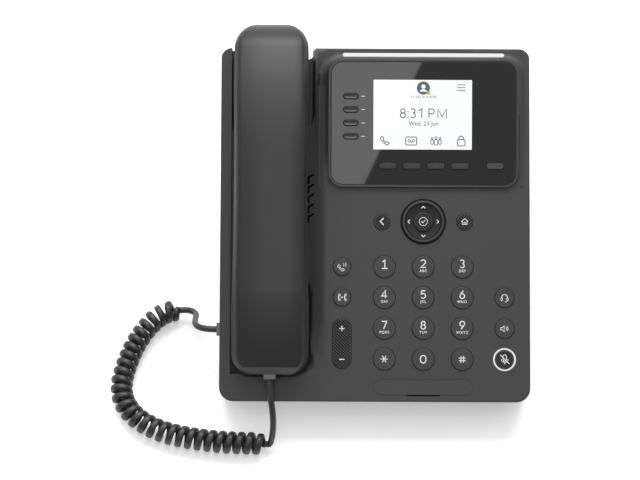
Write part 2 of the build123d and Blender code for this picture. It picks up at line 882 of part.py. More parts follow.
def network_ports():
    """The network sockets, open towards the lower edge of the base."""
    width, tall, long = port_hole
    hole = Pos(0, long / 2 - 1.5, board_low - port_body[1] / 2 - 0.8) * Box(width, long + 2, tall)
    tab = Pos(0, long / 2 - 1.5, board_low - port_body[1] / 2 - 0.8 - tall / 2 - 0.9) * Box(6.0, long + 2, 2.0)
    one = port_space(port_body, 0) - hole - tab
    return [Pos(x, pocket_high) * one for x in port_columns()]


def power_socket():
    """The power socket: a round bore with a centre pin."""
    middle = Pos(port_row - power_offset, pocket_high - 0.5, board_low - power_body[1] / 2)
    along = middle * Rot(-90, 0, 0)
    body = Pos(port_row - power_offset, pocket_high) * port_space(power_body, 0)
    bore = along * post(power_hole_radius, -1, 9.5)
    pin = along * post(power_pin_radius, 1.2, 10.5)
    return body - bore + pin


def loudspeaker():
    """The hands-free speaker under the slots: frame, basket and magnet."""
    floor = -channel_depth - wall
    basket = Pos(0, 0, floor - 5.5) * Cone(10.0, speaker_radius - 2.5, 6.0)
    return (
        post(speaker_radius, floor - 2.5, floor)
        + basket
        + post(9.5, floor - speaker_depth, floor - 5.5)
    )


def hook_plunger():
    """The sprung plunger that the resting handset holds down."""
    head = block(*hook_size_face, hook_flange_top - 1.2, grip_low - 0.1)
    head = fillet(head.edges().group_by(Axis.Z)[-1], 1.0)
    return head + block(hook_size_face[0] + 2.6, hook_size_face[1] + 2.6, hook_flange_top - 1.2, hook_flange_top)


def hook_switch():
    """The switch body under the plunger, on its shelf."""
    return block(8.0, 6.0, hook_switch_low, hook_flange_top - 1.3)


# ---------------------------------------------------------------- stand and feet
def stand_hook_rows():
    """The heights of the stand's hooks on the back."""
    return (stand_low + 12.0, stand_high - 14.0)


def desk_stand():
    """A hollow wedge, open in front, with hooks into the back and keyholes in its level floor."""
    floor = stand_wall + 0.5
    outer = side_prism(
        [
            (stand_low, -full_depth),
            (stand_high, -full_depth),
            from_desk(stand_back, foot_height),
            from_desk(stand_front, foot_height),
        ],
        stand_width,
    )
    outer = fillet(outer.edges().filter_by(Axis.X).sort_by(Axis.Y)[-1:], 2.0)
    inner = side_prism(
        [
            (stand_low - 12, -full_depth - stand_wall),
            (stand_high - stand_wall, -full_depth - stand_wall),
            from_desk(stand_back - stand_wall, foot_height + floor),
            from_desk(stand_front - 12, foot_height + floor),
        ],
        stand_width - 2 * stand_wall,
    )
    shell = outer - inner
    for x in (-keyhole_spread, keyhole_spread):
        entry = post(keyhole_entry, -2, 12)
        slot = groove((0, 0), (0, keyhole_run), 2 * keyhole_slot, -2, 12)
        shell -= on_desk(x, keyhole_place, 0) * (entry + slot)
        for y in stand_foot_rows:
            shell -= on_desk(x * stand_foot_spread / keyhole_spread, y, 0) * slab(
                stand_foot_size + 2 * fit,
                stand_foot_size + 2 * fit,
                2.0,
                -1,
                foot_height + foot_seat,
            )
    for x in (-hook_spread, hook_spread):
        for y in stand_hook_rows():
            shell += Pos(x, y) * block(
                hook_size[0], hook_size[1], -full_depth - 0.5, -full_depth + hook_size[2]
            )
            shell += Pos(x, y + 0.8) * block(
                hook_size[0], hook_size[1] + 1.6, back_inside + 0.2, -full_depth + hook_size[2]
            )
    return shell


def stand_feet():
    """Four rubber pads under the stand."""
    pad = slab(stand_foot_size, stand_foot_size, 2.0, 0, foot_height + foot_seat)
    places = [(side * stand_foot_spread, y) for side in (-1, 1) for y in stand_foot_rows]
    return [on_desk(x, y, 0) * pad for x, y in places]


def front_feet():
    """Two rubber wedges under the lower edge of the base, level underneath."""
    low = front_foot_middle - front_foot_length / 2
    high = front_foot_middle + front_foot_length / 2
    seat = -full_depth + foot_seat
    tilt = radians(face_tilt)
    front = low * cos(tilt) + full_depth * sin(tilt) + 0.6
    back = high * cos(tilt) + full_depth * sin(tilt) - 1.0
    wedge = side_prism(
        [
            (low, seat),
            (high, seat),
            (high, -full_depth),
            from_desk(back, 0),
            from_desk(front, 0),
            (low, -full_depth),
        ],
        front_foot_width,
    )
    return [Pos(side * front_foot_spread) * wedge for side in (-1, 1)]


# ---------------------------------------------------------------- handset
def handset_profile():
    """The side view of the handset as (up the face, out of the face)."""
    low = handset_low
    high = handset_high
    ear_face = -ear_depth + lift_gap
    mouth_face = -mouth_depth + lift_gap
    shoulder = (high - 15.0, handset_top - 7.0)
    under = Polyline(
        (ear_low - 3.0, grip_low),
        (mouth_high + 11.0, grip_low),
        (mouth_high - 2.0, mouth_face),
        (low + 5.7, mouth_face),
        (low, -1.0),
        (low, handset_top - 14.0),
        (low + 4.2, handset_top - 9.4),
    )
    bend = (handset_bend, handset_top - 0.8)
    middle = ((low + 4.2 + bend[0]) / 2, handset_top - 5.1 + handset_slope_rise)
    slope = ThreePointArc((low + 4.2, handset_top - 9.4), middle, bend)
    level = Line(bend, (140, handset_top))
    arch = ThreePointArc((140, handset_top), (177, handset_top - 2.1), shoulder)
    crown = ThreePointArc(shoulder, (high - 5.24, handset_top - 12.25), (high, 1.0))
    end = Polyline(
        (high, 1.0),
        (high - 2.9, -1.9),
        (ear_lip, ear_face),
        (ear_low + 11.0, ear_face),
        (ear_low - 3.0, grip_low),
    )
    outline = make_face([*under.edges(), slope, level, arch, crown, *end.edges()])
    corners = outline.vertices()
    caps = [v for v in corners if v.Y < mouth_face + 0.1 or (v.Y < grip_low + 0.1 and 60 < v.X < ear_low)]
    outline = fillet(caps, 3.0)
    return fillet([v for v in outline.vertices() if abs(v.X - handset_bend) < 0.01], 30.0)


def handset_plan():
    """The handset seen from the front, slightly waisted, and a little longer than its rounded end."""
    low = handset_low
    high = handset_high + handset_overrun
    mouth = handset_width / 2
    waist = handset_waist / 2
    crown = handset_crown / 2
    first, narrow, last = handset_waist_rows
    outline = make_face(
        [
            Line((-mouth, low), (mouth, low)),
            Line((mouth, low), (mouth, first)),
            ThreePointArc((mouth, first), (waist, narrow), (crown, last)),
            Line((crown, last), (crown, high)),
            Line((crown, high), (-crown, high)),
            Line((-crown, high), (-crown, last)),
            ThreePointArc((-crown, last), (-waist, narrow), (-mouth, first)),
            Line((-mouth, first), (-mouth, low)),
        ]
    )
    outline = fillet(outline.vertices().group_by(Axis.Y)[0], handset_corner)
    return fillet(outline.vertices().group_by(Axis.Y)[-1], handset_end_corner)


def handset_body(inset=0.0):
    """The whole handset, moved inwards by inset."""
    profile = handset_profile()
    plan = handset_plan()
    if inset:
        profile = offset(profile, -inset)
        plan = offset(plan, -inset)
    body = side_extrusion(profile, 80) & Pos(0, 0, -40) * extrude(plan, 80)
    if inset:
        return body
    runs = []
    for edge in body.edges():
        box = edge.bounding_box()
        beside = box.min.X * box.max.X > 0
        if edge.center().Z > grip_low and beside and box.size.Y > 0.3:
            runs.append(edge)
    return fillet(runs, handset_edge)


def handset_parting():
    """Everything below the seam between the two handset shells."""
    return side_prism(
        [
            (handset_low - 5, -40),
            (handset_low - 5, handset_socket_centre),
            (handset_low + 6, handset_socket_centre),
            (handset_bend, handset_top - 12.0),
            (150, handset_top - 11.0),
            (handset_high + 5, 4.0),
            (handset_high + 5, -40),
        ],
        80,
    )


def handset_socket_space(grow, outwards=0.0):
    """The room of the socket's body in the lower end of the handset."""
    width, tall, long = socket_body
    start = handset_low + 0.4 - outwards
    return Pos(0, start + (long + outwards) / 2, handset_socket_centre) * Box(
        width + 2 * grow, long + outwards, tall - 1 + 2 * grow
    )


def at_handset(shape):
    """Moves a piece of the handset, drawn about X = 0, to where the handset rests."""
    return Pos(handset_middle, 0, 0) * shape


def sound_holes(count, spread, length):
    """Rows of round holes through the inner shell."""
    holes = Part()
    for number in range(count):
        turn = radians(number * 360 / count)
        holes += Pos(spread * cos(turn), spread * sin(turn)) * post(1.0, -length, length)
    return holes + post(1.2, -length, length)


def handset_shells():
    """The outer and the inner shell of the handset."""
    body = handset_body()
    room = handset_body(handset_wall)
    parting = handset_parting()
    socket = handset_socket_space(fit, 5)
    outer = body - parting - room - socket
    inner = (body & parting) - room - socket
    inner -= Pos(0, receiver_row) * (sound_holes(8, 6.5, 20) & post(20, -20, 0))
    inner -= Pos(0, mouth_row) * (sound_holes(4, 3.2, 20) & post(20, -20, 0))
    return outer, inner


def handset_socket():
    """The socket in the handset's lower end."""
    hole_width, hole_tall, hole_long = socket_hole
    hole = Pos(0, handset_low + 0.4 + hole_long / 2 - 1, handset_socket_centre) * Box(
        hole_width, hole_long + 2, hole_tall
    )
    return handset_socket_space(0) - hole


def handset_receiver():
    """The ear capsule, against the inner shell."""
    face = -ear_depth + lift_gap + handset_wall
    return post(receiver_radius, face, face + 3.5) + post(8.0, face + 3.5, face + 7.0)


def handset_microphone():
    """The microphone capsule, against the inner shell."""
    face = -mouth_depth + lift_gap + handset_wall
    return post(mouthpiece_radius, face, face + 4.0)


# ---------------------------------------------------------------- cord
def plug():
    """A four-way plug pointing along +Y, its cord end at Y = 0."""
    width, tall, long = plug_size
    body = Pos(0, long / 2, 0) * Box(width, long, tall)
    return chamfer(body.edges().filter_by(Axis.Y), 0.5)


def cord_tube(corners, diameter, name):
    """A tube along straight runs joined by arcs, each as large as its two runs allow."""
    radii = []
    for before, here, after in zip(corners, corners[1:], corners[2:]):
        turn = (here - before).get_angle(after - here)
        shorter = min((here - before).length, (after - here).length)
        radii.append(0.45 * shorter / tan(radians(turn) / 2))
    path = FilletPolyline(*corners, radius=radii)
    tube = sweep(Plane(origin=path @ 0, z_dir=path % 0) * Circle(diameter / 2), path=path)
    share = tube.volume / (pi * diameter**2 / 4 * path.length)
    print(name, "length", round(path.length, 1), "volume share", round(share, 4))
    print("  radii", [round(radius, 1) for radius in radii])
    return tube


# ---------------------------------------------------------------- assembly on the flat face
handset_back, handset_front = handset_shells()

flat_pieces = {
    "front_cover": front_cover(),
    "rear_cover": rear_cover(),
    "base_screws": Compound(children=housing_screws() + board_screws()),
    "display_bezel": display_bezel(),
    "display_lens": display_lens(),
    "lcd_module": Compound(children=[lcd_panel(), display_board()]),
    "status_light_bar": Pos(panel_centre, bar_centre) * status_light_bar(),
    "badge_plate": Pos(panel_centre, badge_centre) * capsule(badge_size, -badge_recess, badge_thick - badge_recess),
    "key_mats": Compound(children=[keypad_mat(), display_key_mat()]),
    "main_board": main_board(),
    "rear_ports": Compound(children=network_ports() + [power_socket()]),
    "side_ports": Compound(
        children=[side_socket(handset_socket_height), side_socket(headset_socket_height), jack_board()]
    ),
    "loudspeaker": Pos(*speaker_place) * loudspeaker(),
    "hook_plunger": Pos(*hook_place) * hook_plunger(),
    "hook_switch": Pos(*hook_place) * hook_switch(),
    "desk_stand": desk_stand(),
    "rubber_feet": Compound(children=front_feet() + stand_feet()),
    "handset_back": at_handset(handset_back),
    "handset_front": at_handset(handset_front),
    "handset_socket": at_handset(handset_socket()),
    "handset_receiver": at_handset(Pos(0, receiver_row) * handset_receiver()),
    "handset_microphone": at_handset(Pos(0, mouth_row) * handset_microphone()),
    "mute_light_ring": Pos(*mute_place) * mute_light_ring(),
    "mute_key": Pos(*mute_place) * round_key(mute_radius, key_bottom - 0.9),
    "volume_rocker": Pos(*rocker_place) * volume_rocker(),
    "nav_carrier": Pos(*nav_place) * nav_carrier(),
    "nav_ring": Pos(*nav_place) * nav_ring(),
    "select_key": Pos(*nav_place) * select_key(),
}
for name, (x, y) in digit_places.items():
    flat_pieces[name] = Pos(x, y) * round_key(digit_radius)
for name, (x, y, radius) in function_places.items():
    flat_pieces[name] = Pos(x, y) * round_key(radius)
for name, (place, size) in display_keys().items():
    flat_pieces[name] = on_display(*place) * display_key(size)

# ---------------------------------------------------------------- on the desk
# The origin is under the middle of the phone, without its cord, on the desk.
tilted = {name: Rot(face_tilt, 0, 0) * piece for name, piece in flat_pieces.items()}
outline = Compound(children=[copy(piece) for piece in tilted.values()]).bounding_box()
to_desk = Pos(-outline.center().X, -outline.center().Y, -outline.min.Z)
pieces = {name: to_desk * piece for name, piece in tilted.items()}
from_face = to_desk * Rot(face_tilt, 0, 0)

base_exit = from_face * Pos(-half_width - plug_proud, handset_socket_height, -side_socket_depth)
handset_exit = from_face * Pos(handset_middle, handset_low - plug_proud, handset_socket_centre)
pieces["cord_plug_base"] = base_exit * Rot(0, 0, -90) * plug()
pieces["cord_plug_handset"] = handset_exit * plug()

coil = [Vector(*point) for point in coil_route]
base_lead = [base_exit.position, (base_exit * Pos(-straight_out[0], 0, 0)).position]
base_lead += [Vector(*point) for point in base_lead_route] + coil[:1]
handset_lead = [handset_exit.position, (handset_exit * Pos(0, -straight_out[1], 0)).position]
handset_lead += [Vector(*point) for point in handset_lead_route]
pieces["cord_base_lead"] = cord_tube(base_lead, lead_diameter, "cord_base_lead")
pieces["cord_coil"] = cord_tube(coil, coil_diameter, "cord_coil")
pieces["cord_handset_lead"] = cord_tube(handset_lead, lead_diameter, "cord_handset_lead")

os.makedirs("parts", exist_ok=True)
for name, piece in pieces.items():
    export_step(piece, f"parts/{name}.step")
print(len(pieces), "nodes")
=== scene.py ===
import json
from math import cos, pi, radians, sin

import bmesh
import bpy
import numpy as np
from mathutils import Matrix, Vector

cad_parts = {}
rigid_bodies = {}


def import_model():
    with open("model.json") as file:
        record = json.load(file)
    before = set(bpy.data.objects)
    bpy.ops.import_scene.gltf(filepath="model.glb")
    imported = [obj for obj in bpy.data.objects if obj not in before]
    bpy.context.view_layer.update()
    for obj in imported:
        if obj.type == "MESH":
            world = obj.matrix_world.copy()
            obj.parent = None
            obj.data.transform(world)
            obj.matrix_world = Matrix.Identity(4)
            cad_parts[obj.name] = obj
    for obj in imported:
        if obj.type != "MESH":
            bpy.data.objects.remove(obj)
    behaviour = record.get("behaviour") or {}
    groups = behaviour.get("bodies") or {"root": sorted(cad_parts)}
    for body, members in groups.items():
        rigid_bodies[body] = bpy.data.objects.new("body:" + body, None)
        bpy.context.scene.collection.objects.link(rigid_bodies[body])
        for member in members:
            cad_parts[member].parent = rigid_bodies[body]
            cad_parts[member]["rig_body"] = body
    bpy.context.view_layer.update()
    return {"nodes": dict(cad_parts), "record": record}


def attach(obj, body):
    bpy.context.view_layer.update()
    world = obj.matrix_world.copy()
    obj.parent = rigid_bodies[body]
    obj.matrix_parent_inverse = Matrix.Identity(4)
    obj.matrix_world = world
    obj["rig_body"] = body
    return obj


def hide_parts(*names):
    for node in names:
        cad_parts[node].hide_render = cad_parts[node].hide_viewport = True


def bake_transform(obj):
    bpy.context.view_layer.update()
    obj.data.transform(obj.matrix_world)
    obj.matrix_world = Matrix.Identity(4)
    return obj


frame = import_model()
nodes = frame["nodes"]

# ---------------------------------------------------------------- Camera
# The phone is looked at square to its display, from about an arm and a half away, a little to the
# left of its middle so that the coil of the cord is in view.
view_tilt = radians(32.0)
looked_at = Vector((-0.0323, -0.01457, 0.07048))
viewing_distance = 1.2
lens = bpy.data.cameras.new("view")
lens.lens = 115.0
lens.sensor_width = 36.0
lens.clip_start = 0.05
viewer = bpy.data.objects.new("view", lens)
bpy.context.scene.collection.objects.link(viewer)
towards_viewer = Vector((0.0, -sin(view_tilt), cos(view_tilt)))
viewer.matrix_world = (
    Matrix.Translation(looked_at + viewing_distance * towards_viewer)
    @ Matrix.Rotation(view_tilt, 4, "X")
    @ Matrix.Rotation(radians(0.25), 4, "Z")
)
bpy.context.scene.camera = viewer
bpy.context.scene.view_settings.view_transform = "Standard"


# ---------------------------------------------------------------- Coiled cord
# A flat four-wire cord with a black rubbery jacket, wound hot on a mandrel so that it springs back
# into a helix. Its two straight ends run into the moulded plugs of the base and the handset.
class Value:
    """A number on its way through a material or the studio: +, - and * add Math nodes."""

    def __init__(self, tree, socket):
        self.tree = tree
        self.socket = socket

    def maths(self, operation, first, second):
        node = self.tree.nodes.new("ShaderNodeMath")
        node.operation = operation
        for place, thing in zip(node.inputs, (first, second)):
            if isinstance(thing, Value):
                self.tree.links.new(thing.socket, place)
            else:
                place.default_value = thing
        return Value(self.tree, node.outputs[0])

    def __add__(self, other):
        return self.maths("ADD", self, other)

    def __sub__(self, other):
        return self.maths("SUBTRACT", self, other)

    def __mul__(self, other):
        return self.maths("MULTIPLY", self, other)

    def __rsub__(self, other):
        return self.maths("SUBTRACT", other, self)

    __radd__ = __add__
    __rmul__ = __mul__


class Finish:
    """A material made of one Principled shader; fixed values sit on its sockets."""

    def __init__(self, name, **fixed):
        self.material = bpy.data.materials.new(name)
        self.material.use_nodes = True
        self.tree = self.material.node_tree
        self.shader = self.tree.nodes["Principled BSDF"]
        for socket, value in fixed.items():
            self.feed(socket.replace("_", " "), value)

    def feed(self, socket, value):
        place = self.shader.inputs[socket]
        if isinstance(value, Value):
            self.tree.links.new(value.socket, place)
        elif place.type == "RGBA":
            place.default_value = (*value, 1.0)
        else:
            place.default_value = value

    def node(self, kind, settings=None, output=0, **inputs):
        """Any node by its type, its settings, and the values or links of its sockets."""
        made = self.tree.nodes.new("ShaderNode" + kind)
        for name, value in (settings or {}).items():
            setattr(made, name, value)
        for name, value in inputs.items():
            place = made.inputs[int(name[1:])] if name[0] == "_" else made.inputs[name]
            if isinstance(value, Value):
                self.tree.links.new(value.socket, place)
            else:
                place.default_value = value
        return Value(self.tree, made.outputs[output])

    def place(self):
        """Where a point lies on the object, in metres."""
        return self.node("TexCoord", output=3)

    def noise(self, size, detail=2.0):
        """Soft noise whose patches are about size metres across."""
        spot = self.place()
        return self.node("TexNoise", Vector=spot, Scale=1.0 / size, Detail=detail, Roughness=0.5)

    def two_tone(self, mix, first, second):
        """One colour turning into another as mix goes from 0 to 1."""
        return self.node(
            "Mix", {"data_type": "RGBA"}, output=2, _0=mix, _6=(*first, 1.0), _7=(*second, 1.0)
        )

    def coloured(self, mix, first, second):
        """The base colour, from first to second as mix goes from 0 to 1."""
        self.feed("Base Color", self.two_tone(mix, first, second))

    def raised(self, height, depth, strength=1.0):
        """A bump of that depth in metres where height is 1."""
        normal = self.node("Bump", Height=height, Distance=depth, Strength=strength)
        self.feed("Normal", normal)


def clothe(piece, finish):
    """Gives a piece one finish."""
    piece.data.materials.clear()
    piece.data.materials.append(finish.material)
    return piece


def surface(name, points, faces, finish, body, smooth=True):
    """A piece from an array of points in metres and a list or array of faces, on a body."""
    mesh = bpy.data.meshes.new(name)
    mesh.from_pydata(np.asarray(points).tolist(), [], [list(face) for face in faces])
    mesh.polygons.foreach_set("use_smooth", [smooth] * len(mesh.polygons))
    mesh.update()
    piece = bpy.data.objects.new(name, mesh)
    bpy.context.scene.collection.objects.link(piece)
    clothe(piece, finish)
    if body:
        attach(piece, body)
    return piece


def grid_faces(rows, columns, wrap_columns=False):
    """Four-sided faces between neighbouring rows and columns of a grid of points."""
    across = columns if wrap_columns else columns - 1
    row, column = np.meshgrid(np.arange(rows - 1), np.arange(across), indexing="ij")
    beside = (column + 1) % columns
    corners = [row * columns + column, row * columns + beside]
    corners += [(row + 1) * columns + beside, (row + 1) * columns + column]
    return np.stack(corners, axis=-1).reshape(-1, 4)


def smooth_line(points):
    """Reads points off one smooth NURBS line whose control points are given in metres."""
    curve = bpy.data.curves.new("cord_line", "CURVE")
    curve.dimensions = "3D"
    spline = curve.splines.new("NURBS")
    spline.points.add(len(points) - 1)
    spline.points.foreach_set("co", np.column_stack([points, np.ones(len(points))]).ravel())
    spline.order_u = 3
    spline.use_endpoint_u = True
    spline.resolution_u = 24
    holder = bpy.data.objects.new("cord_line", curve)
    bpy.context.scene.collection.objects.link(holder)
    bpy.context.view_layer.update()
    mesh = bpy.data.meshes.new_from_object(holder)
    line = np.empty(3 * len(mesh.vertices))
    mesh.vertices.foreach_get("co", line)
    bpy.data.objects.remove(holder)
    bpy.data.meshes.remove(mesh)
    return line.reshape(-1, 3)


def evenly(line, step):
    """The same line read at even steps of its length, with the length at each reading."""
    lengths = np.concatenate([[0.0], np.cumsum(np.linalg.norm(np.diff(line, axis=0), axis=1))])
    along = np.linspace(0.0, lengths[-1], int(lengths[-1] / step) + 1)
    return along, np.column_stack([np.interp(along, lengths, line[:, k]) for k in range(3)])


def unit(vectors):
    """The same directions, each of length one."""
    return vectors / np.linalg.norm(vectors, axis=-1, keepdims=True)


def eased(t):
    """A smooth step from 0 to 1."""
    t = np.clip(t, 0.0, 1.0)
    return t * t * (3.0 - 2.0 * t)


base_end = [(-0.0934, -0.0525264, 0.0306765), (-0.1, -0.052526, 0.030677)]
base_lead = [
    (-0.1063, -0.0479, 0.0267),
    (-0.1073, -0.0396, 0.0194),
    (-0.1068, -0.0315, 0.0122),
    (-0.1107, -0.0264, 0.0080),
]
coil_line = [
    (-0.1175, -0.0258, 0.0072),
    (-0.1295, -0.0286, 0.0072),
    (-0.1410, -0.0435, 0.0072),
    (-0.1480, -0.0620, 0.0072),
    (-0.1515, -0.0825, 0.0072),
    (-0.1430, -0.0985, 0.0072),
    (-0.1265, -0.1085, 0.0072),
    (-0.1050, -0.1135, 0.0072),
    (-0.0835, -0.1158, 0.0072),
    (-0.0633, -0.1160, 0.0072),
]
handset_lead = [
    (-0.0612, -0.1158, 0.0046),
    (-0.0596, -0.1136, 0.0124),
    (-0.0590, -0.1096, 0.0206),
    (-0.0596, -0.1040, 0.0284),
]
handset_end = [(-0.0611, -0.096863, 0.034397), (-0.0611, -0.0898877, 0.0381062)]
cord_points = np.array(base_end + base_lead + coil_line + handset_lead + handset_end)
coil_radius = 0.0054
coil_pitch = 0.0057
jacket_width = 0.0040
jacket_thickness = 0.0027
lead_thickness = 0.0036
turn_in = 0.004
reading_step = 0.00022
sides = 12

along, middle = evenly(smooth_line(cord_points), reading_step)
coil_from = along[np.argmin(np.linalg.norm(middle - coil_line[0], axis=1))]
coil_to = along[np.argmin(np.linalg.norm(middle - coil_line[-1], axis=1))]
heading = unit(np.gradient(middle, axis=0))
upright = unit(np.array([0.0, 0.0, 1.0]) - heading[:, 2:3] * heading)
sideways = np.cross(heading, upright)
wound = eased((along - coil_from) / turn_in) * eased((coil_to - along) / turn_in)
winding = -2 * pi * (np.clip(along, coil_from, coil_to) - coil_from) / coil_pitch + pi / 2
outward = np.cos(winding)[:, None] * upright + np.sin(winding)[:, None] * sideways
wire = middle + (coil_radius * wound)[:, None] * outward
wire_heading = unit(np.gradient(wire, axis=0))
outward = unit(outward - np.sum(outward * wire_heading, axis=1, keepdims=True) * wire_heading)
crosswise = np.cross(wire_heading, outward)
half_width = 0.5 * (lead_thickness + (jacket_width - lead_thickness) * wound)
half_thick = 0.5 * (lead_thickness + (jacket_thickness - lead_thickness) * wound)
spokes = np.linspace(0.0, 2 * pi, sides, endpoint=False)
flatness = 0.8
across = np.sign(np.cos(spokes)) * np.abs(np.cos(spokes)) ** flatness
over = np.sign(np.sin(spokes)) * np.abs(np.sin(spokes)) ** flatness
every_other = slice(None, None, 2)
skin = (
    wire[every_other, None, :]
    + (half_width[every_other, None] * across)[:, :, None] * crosswise[every_other, None, :]
    + (half_thick[every_other, None] * over)[:, :, None] * outward[every_other, None, :]
)
rings = len(skin)
cord_faces = [list(face) for face in grid_faces(rings, sides, wrap_columns=True)]
cord_faces += [list(range(sides))[::-1], list(range(sides * (rings - 1), sides * rings))]

jacket = Finish("cord_jacket", Specular_IOR_Level=0.5)
scuff = jacket.noise(0.0011, 3.0)
jacket.coloured(scuff, (0.014, 0.014, 0.015), (0.027, 0.027, 0.028))
jacket.feed("Roughness", 0.34 + 0.16 * scuff)
jacket.raised(jacket.noise(0.00035), 0.00002, 0.3)

cord = surface("coiled_cord", skin.reshape(-1, 3), cord_faces, jacket, None)
bm = bmesh.new()
bm.from_mesh(cord.data)
bmesh.ops.recalc_face_normals(bm, faces=bm.faces)
bm.to_mesh(cord.data)
bm.free()
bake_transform(cord)
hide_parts("cord_base_lead", "cord_coil", "cord_handset_lead")

# The plugs are clear-black moulded polycarbonate, pushed into their sockets until they latch.
plug_black = Finish("plug_black", Roughness=0.22, Coat_Weight=0.3, Coat_Roughness=0.1)
cloud = plug_black.noise(0.004)
plug_black.coloured(cloud, (0.012, 0.012, 0.013), (0.02, 0.02, 0.021))
for name in ("cord_plug_base", "cord_plug_handset"):
    clothe(nodes[name], plug_black)

# ---------------------------------------------------------------- Desk and light
# A plain pale floor in a studio that is bright above and behind the phone and dim in front of it.
# One soft box hangs above and behind the phone. Another stands behind the viewer, and its slanted
# edge mirrors in the lens of the display.
floor_white = Finish("floor_white", Roughness=0.9, Specular_IOR_Level=0.1)
floor_white.coloured(floor_white.noise(0.05), (0.86, 0.86, 0.86), (0.88, 0.88, 0.88))
floor_white.feed("Emission Color", (1.0, 1.0, 1.0))
floor_white.feed("Emission Strength", 0.36)
floor_reach = 6.0
floor_gap = 0.0001
corner = floor_reach * np.array([[-1, -1, 0], [1, -1, 0], [1, 1, 0], [-1, 1, 0]])
floor = surface(
    "floor", corner - [0, 0, floor_gap], [[0, 1, 2, 3]], floor_white, None, smooth=False
)

world = bpy.data.worlds.new("studio")
world.use_nodes = True
studio = world.node_tree
background = studio.nodes["Background"]
background.inputs["Color"].default_value = (1.0, 1.0, 1.0, 1.0)
direction = studio.nodes.new("ShaderNodeTexCoord").outputs["Generated"]
height_behind = studio.nodes.new("ShaderNodeVectorMath")
height_behind.operation = "DOT_PRODUCT"
bright_side = (0.0, 0.6, 0.8)
height_behind.inputs[1].default_value = bright_side
studio.links.new(direction, height_behind.inputs[0])
dim_limit = 0.30
contrast = 1.35
strongest, least = 1.3, 0.03
share = 1 / (1 + dim_limit)
brightness = Value(studio, height_behind.outputs["Value"]) * share + dim_limit * share
brightness = brightness.maths("MAXIMUM", brightness, 0.0)
brightness = brightness.maths("POWER", brightness, contrast) * strongest + least
studio.links.new(brightness.socket, background.inputs["Strength"])
bpy.context.scene.world = world


def soft_box(name, place, size, power):
    """A rectangular soft light whose place and turn are one matrix; it shines along its own -Z."""
    light = bpy.data.lights.new(name, "AREA")
    light.shape = "RECTANGLE"
    light.size, light.size_y = size
    light.energy = power
    holder = bpy.data.objects.new(name, light)
    bpy.context.scene.collection.objects.link(holder)
    holder.matrix_world = place


def facing(place, aim):
    """The matrix of a thing at one point that looks at another."""
    turn = (Vector(aim) - Vector(place)).to_track_quat("-Z", "Y").to_matrix().to_4x4()
    return Matrix.Translation(place) @ turn


soft_box("top_light", facing((0.0, 0.9, 1.5), (0.0, 0.0, 0.05)), (1.6, 0.8), 26.0)
slanted = Matrix.Rotation(view_tilt, 4, "X") @ Matrix.Rotation(radians(-25.02), 4, "Z")
soft_box("slanted_light", Matrix.Translation((-0.1492, -0.781, 1.832)) @ slanted, (0.5, 1.0), 3.8)

# ---------------------------------------------------------------- Housing
# Two shells moulded in dark grey ABS with a fine spark-eroded grain, screwed together from behind.
# The same plastic makes the desk stand that clips on the back.
face_tilt = radians(28.0)
face_start = np.array([0.0, -0.0981792, 0.0262225])


def on_face(points):
    """Millimetres on the face (right, up the face, out of it) as metres on the desk."""
    right, up, out = (np.asarray(points, float) / 1000.0).T
    y = up * cos(face_tilt) - out * sin(face_tilt)
    z = up * sin(face_tilt) + out * cos(face_tilt)
    return np.column_stack([right, y, z]) + face_start


def moulded(name, dark, light, rough):
    """Grained plastic: two close greys in soft patches, a fine grain and an uneven sheen."""
    grain_depth = 0.00001
    plastic = Finish(name, Specular_IOR_Level=0.5)
    patches = plastic.noise(0.03, 3.0)
    grain = plastic.noise(0.0006, 2.0)
    plastic.coloured(patches * 0.7 + grain * 0.3, dark, light)
    plastic.feed("Roughness", rough - 0.04 + 0.08 * grain)
    plastic.raised(grain, grain_depth, 0.5)
    return plastic


def finished(node, finish, crease=24.0):
    """A CAD node's triangles joined, merged where flat, and shaded smooth up to a crease angle."""
    same_point = 1e-6
    same_plane = radians(0.1)
    original = nodes[node]
    mesh = original.data.copy()
    mesh.name = node + "_finished"
    bm = bmesh.new()
    bm.from_mesh(mesh)
    bmesh.ops.remove_doubles(bm, verts=bm.verts, dist=same_point)
    bmesh.ops.dissolve_limit(bm, angle_limit=same_plane, verts=bm.verts, edges=bm.edges)
    bm.to_mesh(mesh)
    bm.free()
    mesh.shade_smooth()
    mesh.set_sharp_from_angle(angle=radians(crease))
    piece = bpy.data.objects.new(node + "_finished", mesh)
    bpy.context.scene.collection.objects.link(piece)
    weighted = piece.modifiers.new("flat_faces_stay_flat", "WEIGHTED_NORMAL")
    weighted.keep_sharp = True
    weighted.weight = 100
    clothe(piece, finish)
    next(s["material_slot"] for s in frame["record"]["subparts"] if s["node"] == node)
    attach(piece, original["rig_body"])
    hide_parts(node)
    return piece


housing = moulded("housing_grey", (0.030, 0.030, 0.031), (0.036, 0.036, 0.037), 0.52)
for name in ("front_cover", "rear_cover", "desk_stand"):
    finished(name, housing)

rubber = Finish("foot_rubber", Roughness=0.85)
rubber.coloured(rubber.noise(0.002), (0.018, 0.018, 0.018), (0.03, 0.03, 0.03))
rubber.raised(rubber.noise(0.0005), 0.00003, 0.5)
clothe(nodes["rubber_feet"], rubber)

steel = Finish("screw_steel", Metallic=1.0)
brushed = steel.noise(0.0008, 4.0)
steel.coloured(brushed, (0.42, 0.42, 0.44), (0.6, 0.6, 0.6))
steel.feed("Roughness", 0.25 + 0.2 * brushed)
for name in ("base_screws", "loudspeaker"):
    clothe(nodes[name], steel)

board_green = Finish("board_green", Roughness=0.35)
board_green.coloured(board_green.noise(0.003), (0.01, 0.07, 0.03), (0.02, 0.11, 0.05))
clothe(nodes["main_board"], board_green)

